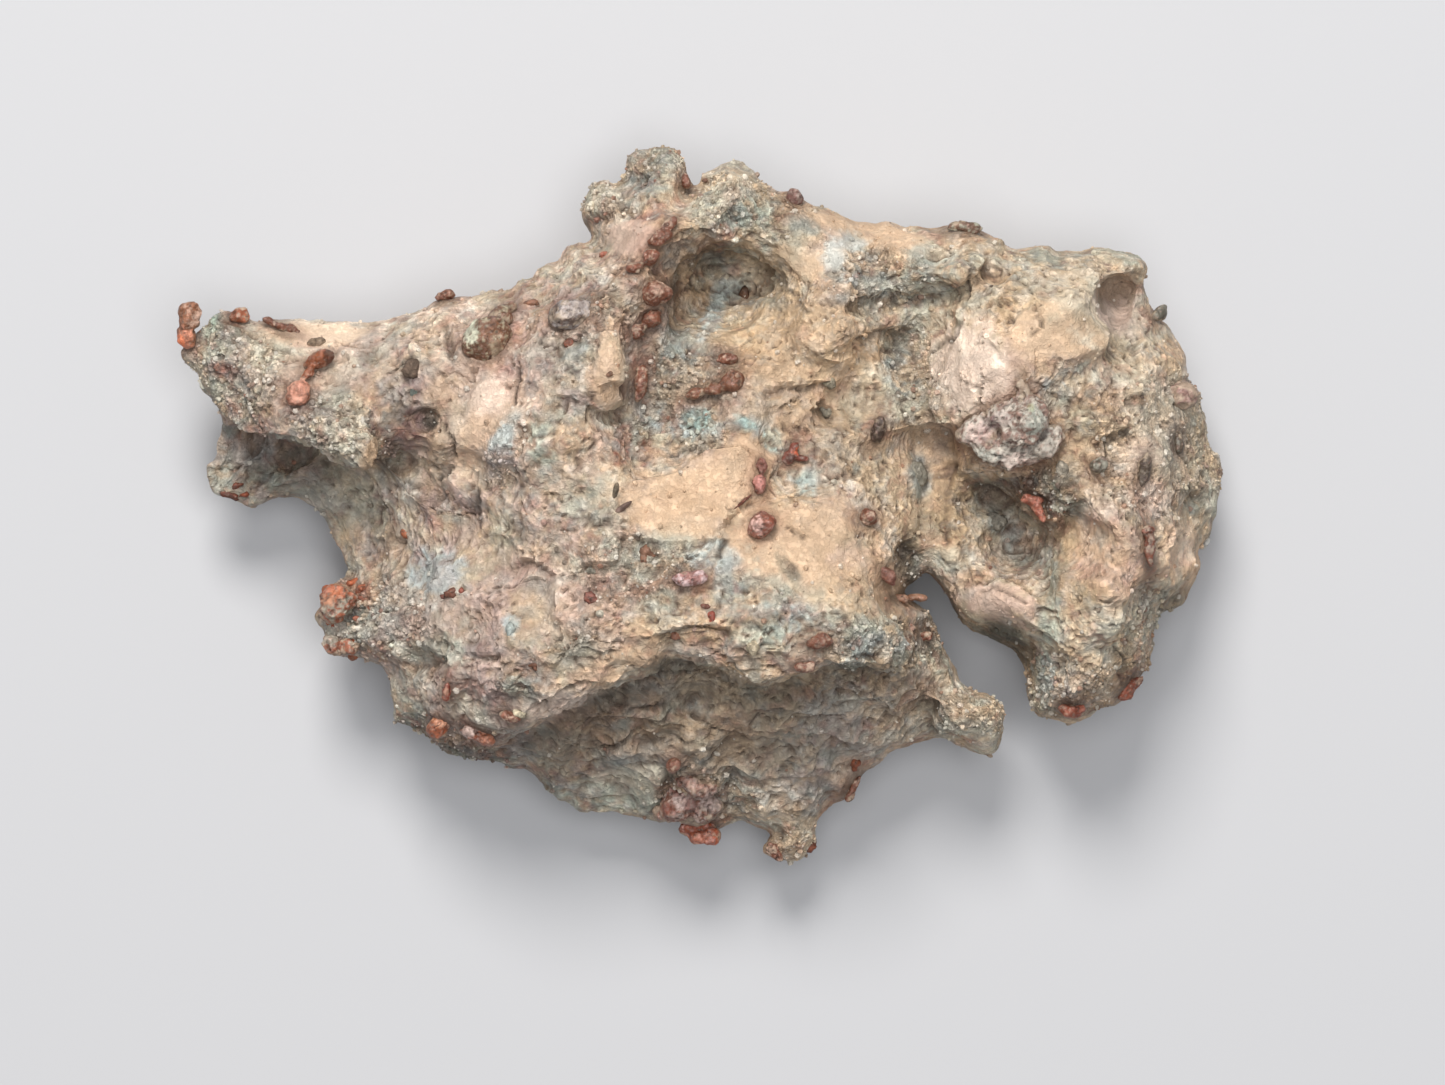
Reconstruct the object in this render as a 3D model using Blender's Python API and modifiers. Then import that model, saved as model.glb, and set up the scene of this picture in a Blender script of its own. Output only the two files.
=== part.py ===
"""Native copper in its rock matrix, lying on its back with the show face up.

One rock solid carries every copper nugget in a socket of the nugget's own shape.
The rock is its outline cut as a slab, wrapped in an even skin, and then shaped by two relief
surfaces, one for the show face and one for the back. X runs to the right of the show face,
Y to its top, and Z up from the surface that the specimen rests on.
"""

import math

import bmesh
import bpy
import numpy as np
from mathutils import Matrix

MM = 0.001

# Driving dimensions
SPECIMEN_WIDTH = 150 * MM
RIM_HALF_THICKNESS = 1.6 * MM
FRONT_SHOULDER = 8 * MM
BACK_SHOULDER = 11 * MM
SKIN_STEP = 1.0 * MM
SOCKET_GAP = 0.44 * MM
ROCK_TRIANGLES = 2900
LUMP_HEIGHT = 0.8 * MM
LUMP_WAVELENGTH = 8 * MM
BACK_LUMP_HEIGHT = 1.6 * MM

# A surface this near to the ground is laid flat on it
SETTLED = 0.2 * MM

# How far each blob of a nugget follows the surface under it, from their mean height
FOLLOWS_SURFACE = 0.7

# Corners closer together than this are one corner
SAME_PLACE = 0.01 * MM

# Shares and powers that shape the relief: each finer layer of lumps against the last, the part
# of a ledge's length over which its ends die away, and how squarely a ledge and a boss fade out
FINER_LAYER = 0.55
LEDGE_END_SHARE = 0.12
LEDGE_FADE_POWER = 1.5
BOSS_EDGE_POWER = 1.4

# Places are read off the show face in pixels of its picture, and turned into metres by at()
PICTURE_WIDTH_PX = 1046
PICTURE_MIDDLE_PX = (702.4, 505.3)
METRES_PER_PX = SPECIMEN_WIDTH / PICTURE_WIDTH_PX

ARM_TOP_PX = [
    (190, 336), (199, 328), (206, 322), (215, 316), (226, 312), (234, 308), (243, 307), (250, 318),
    (257, 323), (270, 319), (285, 320), (297, 316), (307, 316), (313, 320), (320, 316), (337, 320),
    (360, 321), (385, 320), (402, 313), (424, 307), (436, 300), (446, 296), (458, 297), (468, 292),
    (490, 290), (500, 291), (508, 289), (516, 284), (516, 279), (532, 278), (538, 269), (551, 262),
    (557, 265), (561, 252), (569, 243), (581, 240), (595, 244),
]
TOWERS_PX = [
    (593, 236), (586, 226), (583, 213), (586, 190), (594, 178), (605, 174), (612, 179), (622, 180),
    (623, 160), (631, 151), (645, 148), (671, 147), (679, 157), (687, 155), (685, 172), (692, 184),
    (687, 197), (697, 188), (706, 184), (700, 177), (714, 169), (724, 163), (738, 163), (751, 173),
    (760, 183), (773, 191), (784, 193),
]
RIGHT_TOP_PX = [
    (790, 191), (801, 199), (820, 210), (838, 215), (858, 222), (868, 221), (874, 224), (884, 221),
    (904, 227), (915, 226), (935, 228), (948, 225), (962, 224), (976, 228), (988, 234), (1001, 238),
    (1007, 246), (1022, 248), (1034, 246), (1049, 245), (1056, 252), (1092, 249), (1108, 250),
    (1128, 252), (1140, 258), (1147, 272), (1146, 290), (1153, 309), (1168, 325), (1190, 352),
    (1192, 364), (1191, 380), (1201, 394), (1204, 410), (1209, 430), (1212, 446), (1223, 460),
    (1225, 488), (1220, 516), (1212, 522), (1213, 540), (1202, 552),
]
RIGHT_LOBE_PX = [
    (1206, 562), (1203, 571), (1192, 587), (1184, 603), (1161, 612), (1156, 634), (1151, 665),
    (1141, 678), (1133, 693), (1119, 706), (1098, 711), (1092, 719), (1065, 725), (1052, 720),
    (1040, 719), (1032, 710), (1027, 683), (1028, 674), (1018, 655), (1006, 647), (993, 639),
    (976, 629), (963, 624), (951, 607), (938, 588), (931, 576), (928, 567),
]
NOTCH_AND_KNOB_PX = [
    (921, 577), (910, 584), (904, 591), (912, 600), (928, 607), (935, 620), (944, 642), (956, 664),
    (963, 680), (982, 687), (999, 697), (1007, 714), (1007, 730), (1003, 748), (992, 757),
    (980, 756), (966, 748), (950, 740), (936, 740), (920, 744), (893, 751), (884, 762), (868, 771),
    (858, 786), (845, 802), (832, 808), (821, 821), (821, 836), (817, 846), (811, 857), (797, 864),
    (780, 861), (765, 857), (762, 847), (770, 839), (781, 837),
]
FOOT_EDGE_PX = [
    (772, 832), (750, 827), (740, 823), (722, 830), (700, 828), (682, 824), (660, 824), (634, 822),
    (606, 815), (578, 810), (573, 803), (556, 799), (543, 784), (527, 771), (510, 771), (492, 765),
    (462, 761), (440, 750), (425, 738), (406, 724), (395, 721), (391, 704), (384, 690), (385, 680),
    (372, 666), (352, 660), (331, 656), (321, 641), (314, 618), (326, 600), (336, 582), (346, 573),
]
LEFT_EDGE_PX = [
    (338, 552), (328, 536), (318, 517), (302, 503), (288, 498), (266, 500), (256, 509), (244, 510),
    (231, 500), (214, 494), (206, 480), (202, 464), (215, 457), (214, 446), (219, 426), (222, 416),
    (208, 397), (198, 386), (196, 374), (184, 362), (181, 352),
]
OUTLINE_PX = (ARM_TOP_PX + TOWERS_PX + RIGHT_TOP_PX + RIGHT_LOBE_PX
              + NOTCH_AND_KNOB_PX + FOOT_EDGE_PX + LEFT_EDGE_PX)

# Spot heights: place in pixels, height above the resting surface in millimetres
FRONT_SPOTS = [
    (200, 340, 24), (245, 352, 28), (290, 375, 31), (345, 345, 27), (345, 425, 34), (262, 420, 30),
    (400, 375, 34), (440, 330, 32), (480, 300, 28), (505, 400, 38), (420, 450, 34), (402, 490, 36),
    (345, 530, 26), (425, 565, 35), (465, 500, 37), (550, 350, 39), (560, 440, 41), (600, 290, 38),
    (612, 375, 42), (650, 290, 38), (605, 200, 25), (655, 180, 26), (735, 195, 33), (690, 222, 37),
    (705, 290, 26), (745, 285, 27), (765, 330, 31), (700, 350, 32), (660, 400, 35), (640, 450, 38),
    (740, 395, 35), (700, 440, 37), (745, 450, 39), (680, 505, 40), (760, 520, 41), (830, 530, 40),
    (640, 560, 42), (700, 575, 43), (800, 595, 43), (885, 560, 37), (700, 625, 45), (760, 645, 45),
    (615, 645, 44), (855, 625, 43), (900, 625, 40), (935, 650, 33), (800, 250, 31), (860, 262, 31),
    (800, 330, 34), (845, 335, 37), (800, 400, 34), (862, 385, 32), (835, 440, 34), (872, 485, 35),
    (785, 455, 35), (905, 430, 32), (915, 265, 33), (920, 345, 31), (1000, 300, 38), (965, 370, 39),
    (1040, 330, 41), (1070, 290, 38), (1052, 268, 33), (1118, 300, 30), (1130, 265, 29),
    (1125, 350, 34), (1165, 385, 31), (1195, 440, 25), (1150, 455, 34), (1100, 450, 37),
    (1200, 490, 24), (1005, 430, 37), (985, 505, 31), (1015, 545, 30), (940, 470, 32),
    (945, 545, 31), (1000, 600, 35), (960, 600, 31), (1062, 600, 38), (1100, 545, 41),
    (1120, 490, 39), (1155, 575, 34), (1190, 560, 26), (1100, 620, 38), (1135, 645, 32),
    (1058, 650, 35), (1080, 690, 32), (560, 745, 33), (640, 710, 37), (700, 700, 38), (780, 710, 39),
    (860, 700, 38), (630, 765, 29), (700, 760, 31), (790, 765, 29), (860, 740, 30), (930, 700, 30),
    (975, 720, 25), (600, 795, 21), (700, 800, 24), (790, 815, 21), (790, 848, 17), (345, 605, 26),
    (380, 620, 30), (440, 620, 36), (500, 610, 40), (560, 600, 42), (425, 680, 31), (485, 690, 37),
    (545, 685, 41), (440, 730, 26), (490, 745, 28), (250, 470, 27), (215, 475, 24), (320, 490, 29),
]
BACK_SPOTS = [
    (200, 345, 15), (245, 360, 13), (300, 370, 9), (340, 400, 7), (230, 470, 9), (290, 480, 7),
    (400, 360, 4), (400, 450, 1), (350, 600, 8), (420, 690, 6), (480, 560, -3), (500, 400, -3),
    (600, 300, 4), (610, 205, 13), (650, 180, 14), (735, 190, 13), (700, 260, 5), (640, 440, 1),
    (701, 506, 2), (760, 560, -3), (620, 640, -3), (760, 680, 1), (600, 770, 5), (700, 780, 6),
    (790, 830, 8), (860, 720, 4), (975, 720, 9), (930, 640, 6), (840, 420, 0), (860, 280, 3),
    (980, 300, 1), (980, 480, 4), (1080, 420, -3), (1120, 330, 3), (1190, 450, 3), (1100, 560, -3),
    (1080, 660, 3), (1080, 705, 7), (1000, 600, 7), (920, 540, 4),
]
RIM_SPOTS = [
    (190, 340, 20), (330, 318, 20), (215, 480, 15), (330, 540, 14), (318, 620, 16), (450, 760, 15),
    (600, 815, 12), (790, 862, 11), (880, 765, 14), (1007, 720, 16), (960, 660, 17), (928, 567, 20),
    (1030, 680, 16), (1075, 725, 15), (1150, 660, 14), (1200, 560, 14), (1225, 480, 15),
    (1190, 360, 16), (1145, 270, 18), (1000, 240, 20), (870, 222, 20), (735, 163, 21),
    (650, 148, 19), (585, 213, 19), (500, 290, 20),
]

# A ledge is a line of places with its low side on the left hand of its direction:
# drop, ramp and reach in millimetres, then the line
LEDGES = {
    "main_ledge": (6.5, 0.9, 13, [
        (930, 664), (900, 672), (862, 662), (826, 660), (800, 676), (764, 684), (720, 666),
        (690, 656), (668, 652), (640, 672), (600, 692), (575, 708), (540, 724), (510, 738),
        (480, 756)]),
    "arm_overhang": (9.5, 2.2, 15, [
        (392, 428), (384, 458), (366, 470), (334, 462), (316, 454), (300, 441), (262, 439),
        (240, 430), (220, 416), (200, 402)]),
    "hollow_brow": (10, 1.6, 12, [
        (792, 300), (780, 266), (758, 256), (730, 246), (706, 248), (684, 262), (668, 284),
        (664, 312), (672, 345)]),
    "plateau_fold": (4.5, 1.4, 7, [
        (992, 252), (968, 276), (940, 286), (905, 292), (862, 300), (838, 306)]),
    "plateau_left": (3.0, 1.2, 7, [
        (958, 430), (938, 432), (930, 392), (944, 352), (958, 320), (966, 280)]),
    "crown_shadow": (6.0, 1.0, 10, [
        (1072, 494), (1050, 520), (1034, 522), (1012, 492), (985, 478), (962, 470), (958, 424)]),
    "corner_recess": (5.5, 0.9, 6, [
        (1146, 290), (1136, 280), (1114, 276), (1092, 290), (1098, 316), (1110, 332)]),
    "plateau_right": (3.0, 1.4, 8, [
        (1104, 318), (1108, 336), (1096, 350), (1064, 366), (1042, 396), (1048, 430)]),
    "facet_underside": (9.0, 0.9, 9, [
        (1036, 668), (1032, 644), (1010, 629), (992, 619), (972, 622), (956, 612), (940, 590)]),
    "block_edge": (3.6, 0.8, 6, [
        (640, 300), (624, 330), (627, 360), (626, 404), (600, 414)]),
    "lower_fold": (2.6, 1.0, 6, [
        (936, 694), (916, 708), (896, 717), (876, 702), (852, 688), (820, 684)]),
    "lobe_corner": (5.0, 1.0, 8, [
        (1196, 520), (1194, 560), (1176, 590), (1156, 600), (1150, 640)]),
}

# Bosses stand up and pits go down: place, half length and half width in millimetres,
# turn in degrees, height in millimetres
BOSSES = [
    (345, 432, 6.5, 3.8, -25, 2.5), (402, 488, 3.0, 3.0, 0, 1.6), (440, 575, 4.2, 4.0, 0, 1.4),
    (612, 372, 2.2, 4.5, 0, 1.2), (650, 165, 4.0, 2.6, 0, 1.5), (604, 195, 2.6, 3.4, 0, 1.5),
    (735, 188, 3.6, 3.2, 0, 1.6), (842, 335, 4.2, 3.0, 30, 1.8), (800, 395, 5.0, 2.6, 10, 1.4),
    (972, 718, 5.0, 3.6, 20, 3.0), (785, 845, 3.2, 2.0, 0, 1.6), (1102, 575, 4.2, 6.5, 10, 1.8),
    (1100, 622, 3.0, 3.6, 0, 1.2), (1060, 700, 4.0, 2.6, 0, 1.4), (560, 655, 4.0, 2.4, 15, 1.4),
    (620, 716, 5.0, 1.6, 15, 1.3), (620, 760, 4.6, 1.6, 5, 1.4), (640, 735, 3.6, 1.4, 20, 1.0),
    (745, 645, 4.2, 2.4, -8, 1.2), (680, 632, 5.0, 2.2, 8, 1.0), (1130, 268, 3.0, 2.0, 0, 1.6),
    (980, 600, 4.2, 3.2, -10, 1.4), (300, 372, 4.5, 3.0, 20, 1.0), (230, 350, 4.0, 3.0, 0, 1.2),
    (430, 423, 1.6, 1.2, 0, -1.6), (740, 300, 4.5, 5.0, 0, -2.5), (700, 270, 3.5, 3.0, 0, -2.5),
    (285, 465, 3.0, 1.6, 0, -1.6), (1118, 300, 3.2, 3.0, 0, -2.0), (985, 500, 4.0, 2.0, -15, -2.4),
    (1015, 545, 3.4, 3.6, 0, -1.6), (1042, 620, 1.2, 7.0, 4, -1.8), (905, 555, 2.4, 2.4, 0, -2.2),
    (855, 385, 3.5, 4.5, 20, -1.6), (905, 355, 2.6, 5.0, 20, -1.6), (1080, 400, 2.0, 4.0, 30, -1.2),
    (760, 760, 6.0, 4.0, -10, -1.6), (700, 705, 6.0, 1.6, -20, -1.4), (648, 340, 1.2, 6.0, -6, -1.6),
    (655, 430, 4.0, 4.0, 0, -1.2), (576, 355, 2.4, 1.6, 30, -1.2), (390, 400, 3.0, 5.0, -25, -1.3),
]

# Copper nuggets: each is a few blobs grown together. A blob is its place, half length and half
# width in millimetres, the turn of its length in degrees, and how far its middle stands above
# the rock's own relief, in millimetres
COPPER = {
    "copper_horn": [(193, 313, 2.0, 1.7, 35, 2.0), (190, 326, 1.5, 1.3, 80, 1.0),
                    (187, 338, 1.7, 1.1, 100, 0.5)],
    "copper_arm_crest": [(241, 316, 1.7, 1.2, 30, 0.6)],
    "copper_arm_sliver": [(283, 327, 2.9, 0.9, -22, 0.4)],
    "copper_arm_branch": [(301, 396, 1.9, 1.7, 60, 0.7), (322, 368, 2.4, 1.4, 55, 0.6),
                          (310, 383, 2.0, 0.9, 55, 0.4)],
    "copper_rim_bead": [(446, 297, 1.8, 0.9, 5, 0.4)],
    "copper_egg": [(489, 342, 3.8, 3.2, 38, 1.0), (502, 322, 2.0, 1.7, 50, 0.7),
                   (508, 311, 1.6, 0.9, 15, 0.5)],
    "copper_coated_egg": [(574, 318, 3.4, 2.3, 20, 0.5)],
    "copper_bean_upper": [(658, 296, 2.3, 1.7, 20, 0.8)],
    "copper_bean_lower": [(652, 323, 1.9, 1.4, 45, 0.8), (640, 335, 1.3, 1.1, 30, 0.3)],
    "copper_bean_top": [(652, 262, 1.4, 1.1, 40, 0.7), (637, 272, 1.5, 1.0, 15, 0.5)],
    "copper_ridge_slug": [(661, 243, 2.0, 1.0, 20, 0.4), (670, 230, 1.7, 0.9, 50, 0.4)],
    "copper_groove_slug": [(642, 386, 2.9, 1.0, 80, 0.3)],
    "copper_cluster": [(731, 383, 2.0, 1.5, 30, 0.8), (714, 391, 1.5, 1.1, 20, 0.6),
                       (697, 396, 1.7, 0.9, 22, 0.6)],
    "copper_cluster_cap": [(727, 361, 1.7, 1.0, 10, 0.5)],
    "copper_spindle": [(760, 486, 1.7, 1.1, 85, 0.5), (762, 467, 1.5, 0.8, 100, 0.4)],
    "copper_drop": [(761, 525, 2.2, 1.8, 35, 0.8)],
    "copper_wedge": [(689, 577, 2.7, 1.1, 5, 0.7)],
    "copper_star": [(793, 453, 1.4, 1.3, 60, 0.5)],
    "copper_stud": [(866, 518, 1.7, 1.4, 0, 0.3)],
    "copper_dark_bead": [(877, 431, 2.0, 1.1, 70, 0.4)],
    "copper_notch_bead": [(887, 573, 1.4, 1.0, -40, 0.5)],
    "copper_splinter": [(905, 597, 2.1, 0.8, -6, 0.6)],
    "copper_ledge_slug": [(816, 640, 1.8, 1.0, 12, 0.4)],
    "copper_ledge_bead": [(803, 664, 1.6, 0.9, 15, 0.5)],
    "copper_shoulder_bead": [(924, 636, 1.3, 1.0, 0, 0.3)],
    "copper_crown": [(976, 434, 3.4, 2.4, 25, 1.8), (1018, 424, 3.8, 3.4, 80, 2.0),
                     (1004, 452, 5.6, 2.4, -5, 2.2), (1040, 444, 3.0, 2.4, 40, 1.6),
                     (1018, 393, 2.8, 1.1, 110, 1.2), (998, 416, 3.2, 1.8, 30, 1.8)],
    "copper_crown_foot": [(1032, 494, 2.0, 1.7, -20, 1.0), (1034, 511, 2.0, 1.0, -65, 1.0)],
    "copper_right_rod": [(1142, 545, 3.2, 1.0, 95, 0.3)],
    "copper_right_slug": [(1137, 471, 2.6, 0.8, 78, 0.2)],
    "copper_right_stud": [(1175, 443, 1.8, 1.0, 95, 0.3)],
    "copper_right_bead": [(1091, 466, 1.4, 1.0, 0, 0.3)],
    "copper_right_patch": [(1180, 394, 2.6, 1.2, -8, 0.3)],
    "copper_side_thorn": [(1160, 313, 1.6, 1.0, 50, 0.6)],
    "copper_toe_right": [(1130, 687, 2.6, 1.3, 42, 0.8)],
    "copper_toe_left": [(1070, 709, 2.0, 1.3, -5, 0.8)],
    "copper_left_shoulder": [(340, 604, 3.2, 2.6, 40, 0.8), (328, 612, 1.9, 1.6, 40, 0.6)],
    "copper_left_lower": [(350, 645, 1.8, 1.2, 0, 0.6), (334, 648, 1.8, 1.2, -40, 0.4)],
    "copper_low_knob": [(441, 725, 2.0, 1.6, 35, 0.9)],
    "copper_low_bar": [(480, 734, 2.8, 1.2, -20, 0.7)],
    "copper_low_bead": [(450, 690, 1.5, 0.8, 80, 0.3)],
    "copper_low_sliver": [(514, 714, 1.7, 0.8, -12, 0.3)],
    "copper_plate": [(680, 802, 3.2, 2.8, 60, 0.8), (704, 804, 2.8, 2.4, 90, 0.8),
                     (696, 784, 3.4, 1.3, -15, 0.8), (664, 812, 1.8, 1.3, 0, 0.5)],
    "copper_plate_bead": [(675, 763, 1.0, 0.9, 0, 0.4)],
    "copper_drip": [(701, 835, 2.5, 1.2, 0, 0.4), (702, 826, 1.8, 1.3, 90, 0.4)],
    "copper_toe_bottom": [(774, 853, 1.6, 1.2, -30, 0.8)],
    "copper_rim_strip": [(853, 788, 2.4, 0.9, 62, 0.3)],
    "copper_top_stud": [(795, 200, 1.4, 1.1, -30, 0.5)],
    "copper_top_ridge": [(963, 230, 2.9, 0.9, 0, 0.3)],
    "copper_tower_bead": [(686, 184, 1.2, 0.9, 100, 0.5)],
}
BLOB_SKIN_STEP = 0.32 * MM
SMALL_NUGGET = 1.3 * MM
NUGGET_TRIANGLES = {"small": 36, "middle": 54, "large": 130}
LARGE_NUGGET_BLOBS = 4

# Finishes: colour, roughness and metallic share
ROCK_FINISH = ((0.50, 0.38, 0.27, 1), 0.9, 0.0)
COPPER_FINISH = ((0.36, 0.12, 0.06, 1), 0.45, 0.8)
COATED_COPPER_FINISH = ((0.30, 0.26, 0.22, 1), 0.6, 0.35)
COATED = ("copper_coated_egg", "copper_crown", "copper_right_patch", "copper_side_thorn")


def at(px, py):
    """The place in metres of a picture pixel, X to the right and Y up."""
    return ((px - PICTURE_MIDDLE_PX[0]) * METRES_PER_PX, (PICTURE_MIDDLE_PX[1] - py) * METRES_PER_PX)


def smooth_step(t):
    """0 below 0, 1 above 1 and an S curve between."""
    t = np.clip(t, 0, 1)
    return t * t * (3 - 2 * t)


def thin_plate(spots):
    """A function of x and y: the least bent sheet through spot heights."""
    places = np.array([at(px, py) for px, py, _ in spots])
    heights = np.array([height * MM for _, _, height in spots])

    def kernel(x, y):
        square = (x[:, None] - places[:, 0]) ** 2 + (y[:, None] - places[:, 1]) ** 2
        return square * np.log(square + 1e-12)

    count = len(spots)
    plane = np.column_stack([np.ones(count), places])
    system = np.zeros((count + 3, count + 3))
    system[:count, :count] = kernel(places[:, 0], places[:, 1])
    system[:count, count:] = plane
    system[count:, :count] = plane.T
    weights = np.linalg.solve(system, np.concatenate([heights, np.zeros(3)]))

    def sheet(x, y):
        return kernel(x, y) @ weights[:count] + weights[count] + x * weights[-2] + y * weights[-1]

    return sheet


def nearest_on_line(line, x, y):
    """Distance to a line of places, positive on its left hand, and the share of it passed."""
    best = np.full(len(x), np.inf)
    side = np.ones(len(x))
    share = np.zeros(len(x))
    lengths = [math.dist(a, b) for a, b in zip(line, line[1:])]
    passed = 0.0
    for (x0, y0), (x1, y1), length in zip(line, line[1:], lengths):
        dx, dy = (x1 - x0) / length, (y1 - y0) / length
        along = np.clip((x - x0) * dx + (y - y0) * dy, 0, length)
        off_x, off_y = x - x0 - along * dx, y - y0 - along * dy
        distance = np.hypot(off_x, off_y)
        nearer = distance < best
        best = np.where(nearer, distance, best)
        side = np.where(nearer, np.sign(off_y * dx - off_x * dy), side)
        share = np.where(nearer, (passed + along) / sum(lengths), share)
        passed += length
    return best * side, share


def lattice_value(ix, iy, seed):
    """A fixed pseudo-random number from -1 to 1 for each lattice point."""
    mixed = (ix * 374761393 + iy * 668265263 + seed * 974634777) & 0xFFFFFFFF
    mixed = ((mixed ^ (mixed >> 13)) * 1274126177) & 0xFFFFFFFF
    return ((mixed ^ (mixed >> 16)) & 0xFFFF) / 32767.5 - 1


def value_noise(x, y, wavelength, seed):
    """Smooth noise: lattice values blended by S curves."""
    u, v = x / wavelength, y / wavelength
    iu, iv = np.floor(u).astype(np.int64), np.floor(v).astype(np.int64)
    su, sv = smooth_step(u - iu), smooth_step(v - iv)
    low = lattice_value(iu, iv, seed) * (1 - su) + lattice_value(iu + 1, iv, seed) * su
    high = lattice_value(iu, iv + 1, seed) * (1 - su) + lattice_value(iu + 1, iv + 1, seed) * su
    return low * (1 - sv) + high * sv


def lumps(x, y, seed):
    """Three layers of noise, each half the size and just over half the height of the last."""
    return sum(FINER_LAYER ** octave * value_noise(x, y, LUMP_WAVELENGTH / 2 ** octave, seed + octave)
               for octave in range(3))


def ledges(x, y):
    """Each ledge takes its drop off the low side, fading with distance and towards its ends."""
    total = np.zeros(len(x))
    for drop, ramp, reach, line_px in LEDGES.values():
        line = [at(px, py) for px, py in line_px]
        off, share = nearest_on_line(line, x, y)
        ends = smooth_step(share / LEDGE_END_SHARE) * smooth_step((1 - share) / LEDGE_END_SHARE)
        fade = np.exp(-(np.abs(off) / (reach * MM)) ** LEDGE_FADE_POWER)
        total -= drop * MM * smooth_step(off / (ramp * MM)) * fade * ends
    return total


def bosses(x, y):
    """Each boss or pit is a rounded mound over a turned ellipse."""
    total = np.zeros(len(x))
    for px, py, half_length, half_width, turn, height in BOSSES:
        x0, y0 = at(px, py)
        c, s = math.cos(math.radians(turn)), math.sin(math.radians(turn))
        along = ((x - x0) * c + (y - y0) * s) / (half_length * MM)
        across = ((y - y0) * c - (x - x0) * s) / (half_width * MM)
        total += height * MM * np.exp(-(along ** 2 + across ** 2) ** BOSS_EDGE_POWER)
    return total


def make_relief():
    """The front, back and rim heights of the rock, each a function of x and y."""
    front_sheet, back_sheet, rim_sheet = map(thin_plate, (FRONT_SPOTS, BACK_SPOTS, RIM_SPOTS))

    def front(x, y):
        return front_sheet(x, y) + ledges(x, y) + bosses(x, y) + LUMP_HEIGHT * lumps(x, y, 3)

    def back(x, y):
        return np.maximum(back_sheet(x, y) + BACK_LUMP_HEIGHT * lumps(x, y, 11), 0)

    return front, back, rim_sheet


def shoulder(inset, width):
    """How far the face has risen from the rim: a quarter round, then level."""
    return np.sqrt(1 - (1 - np.clip(inset / width, 0, 1)) ** 2)


def outline():
    return [at(px, py) for px, py in OUTLINE_PX]


def front_surface(x, y, relief):
    """Height of the finished show face."""
    front, _, rim = relief
    closed = outline() + outline()[:1]
    inset = np.abs(nearest_on_line(closed, x, y)[0])
    edge = rim(x, y) + RIM_HALF_THICKNESS
    return edge + (front(x, y) - edge) * shoulder(inset, FRONT_SHOULDER)


def back_surface(x, y, relief):
    """Height of the finished back, never below the resting surface."""
    _, back, rim = relief
    closed = outline() + outline()[:1]
    inset = np.abs(nearest_on_line(closed, x, y)[0])
    edge = rim(x, y) - RIM_HALF_THICKNESS
    return edge + (back(x, y) - edge) * shoulder(inset, BACK_SHOULDER)


def new_collection(name):
    collection = bpy.data.collections.new(name)
    bpy.context.scene.collection.children.link(collection)
    return collection


def material(name, colour, roughness, metallic):
    """A Principled material with one colour."""
    made = bpy.data.materials.new(name)
    made.use_nodes = True
    shader = made.node_tree.nodes["Principled BSDF"]
    shader.inputs["Base Color"].default_value = colour
    shader.inputs["Roughness"].default_value = roughness
    shader.inputs["Metallic"].default_value = metallic
    made.diffuse_color = colour
    return made


def applied(source, name, collection):
    """A new mesh object from source as its modifiers leave it. The source is removed."""
    graph = bpy.context.evaluated_depsgraph_get()
    mesh = bpy.data.meshes.new_from_object(source.evaluated_get(graph))
    bpy.data.objects.remove(source)
    made = bpy.data.objects.new(name, mesh)
    collection.objects.link(made)
    return made


def weld(mesh, distance):
    """Merges vertices that lie within a distance of each other."""
    shape = bmesh.new()
    shape.from_mesh(mesh)
    bmesh.ops.remove_doubles(shape, verts=shape.verts, dist=distance)
    bmesh.ops.recalc_face_normals(shape, faces=shape.faces)
    shape.to_mesh(mesh)
    shape.free()


def remesh(obj, step):
    modifier = obj.modifiers.new("even skin", "REMESH")
    modifier.mode = "VOXEL"
    modifier.voxel_size = step


def thin_out(obj, triangles):
    """Triangulates and collapses the mesh to about this many triangles."""
    obj.modifiers.new("triangles", "TRIANGULATE")
    modifier = obj.modifiers.new("fewer faces", "DECIMATE")
    obj.data.calc_loop_triangles()
    modifier.ratio = min(1.0, triangles / len(obj.data.loop_triangles))
    modifier.use_collapse_triangulate = True


def vertex_array(mesh):
    places = np.empty(len(mesh.vertices) * 3)
    mesh.vertices.foreach_get("co", places)
    return places.reshape(-1, 3)


def set_vertices(mesh, places):
    mesh.vertices.foreach_set("co", places.astype(np.float32).ravel())
    mesh.update()


def slab(collection):
    """The outline as a slab across Z = 0, in an even skin."""
    curve = bpy.data.curves.new("outline", "CURVE")
    curve.dimensions = "2D"
    curve.fill_mode = "BOTH"
    curve.extrude = RIM_HALF_THICKNESS
    spline = curve.splines.new("POLY")
    spline.points.add(len(OUTLINE_PX) - 1)
    for point, (x, y) in zip(spline.points, outline()):
        point.co = (x, y, 0, 1)
    spline.use_cyclic_u = True
    guide = bpy.data.objects.new("outline", curve)
    collection.objects.link(guide)
    bpy.context.view_layer.update()
    made = applied(guide, "slab", collection)
    weld(made.data, SAME_PLACE)
    remesh(made, SKIN_STEP)
    bpy.context.view_layer.update()
    return applied(made, "rock_matrix", collection)


def rock(collection, relief):
    """The slab with its top drawn up to the show face and its underside down to the back."""
    made = slab(collection)
    places = vertex_array(made.data)
    x, y = places[:, 0], places[:, 1]
    level = np.clip(places[:, 2] / RIM_HALF_THICKNESS, -1, 1)
    front = front_surface(x, y, relief)
    back = back_surface(x, y, relief)
    places[:, 2] = back + (front - back) * (level + 1) / 2
    set_vertices(made.data, places)
    thin_out(made, ROCK_TRIANGLES)
    bpy.context.view_layer.update()
    made = applied(made, "rock_matrix", collection)
    places = vertex_array(made.data)
    places[places[:, 2] < SETTLED, 2] = 0
    set_vertices(made.data, places)
    return made


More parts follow.
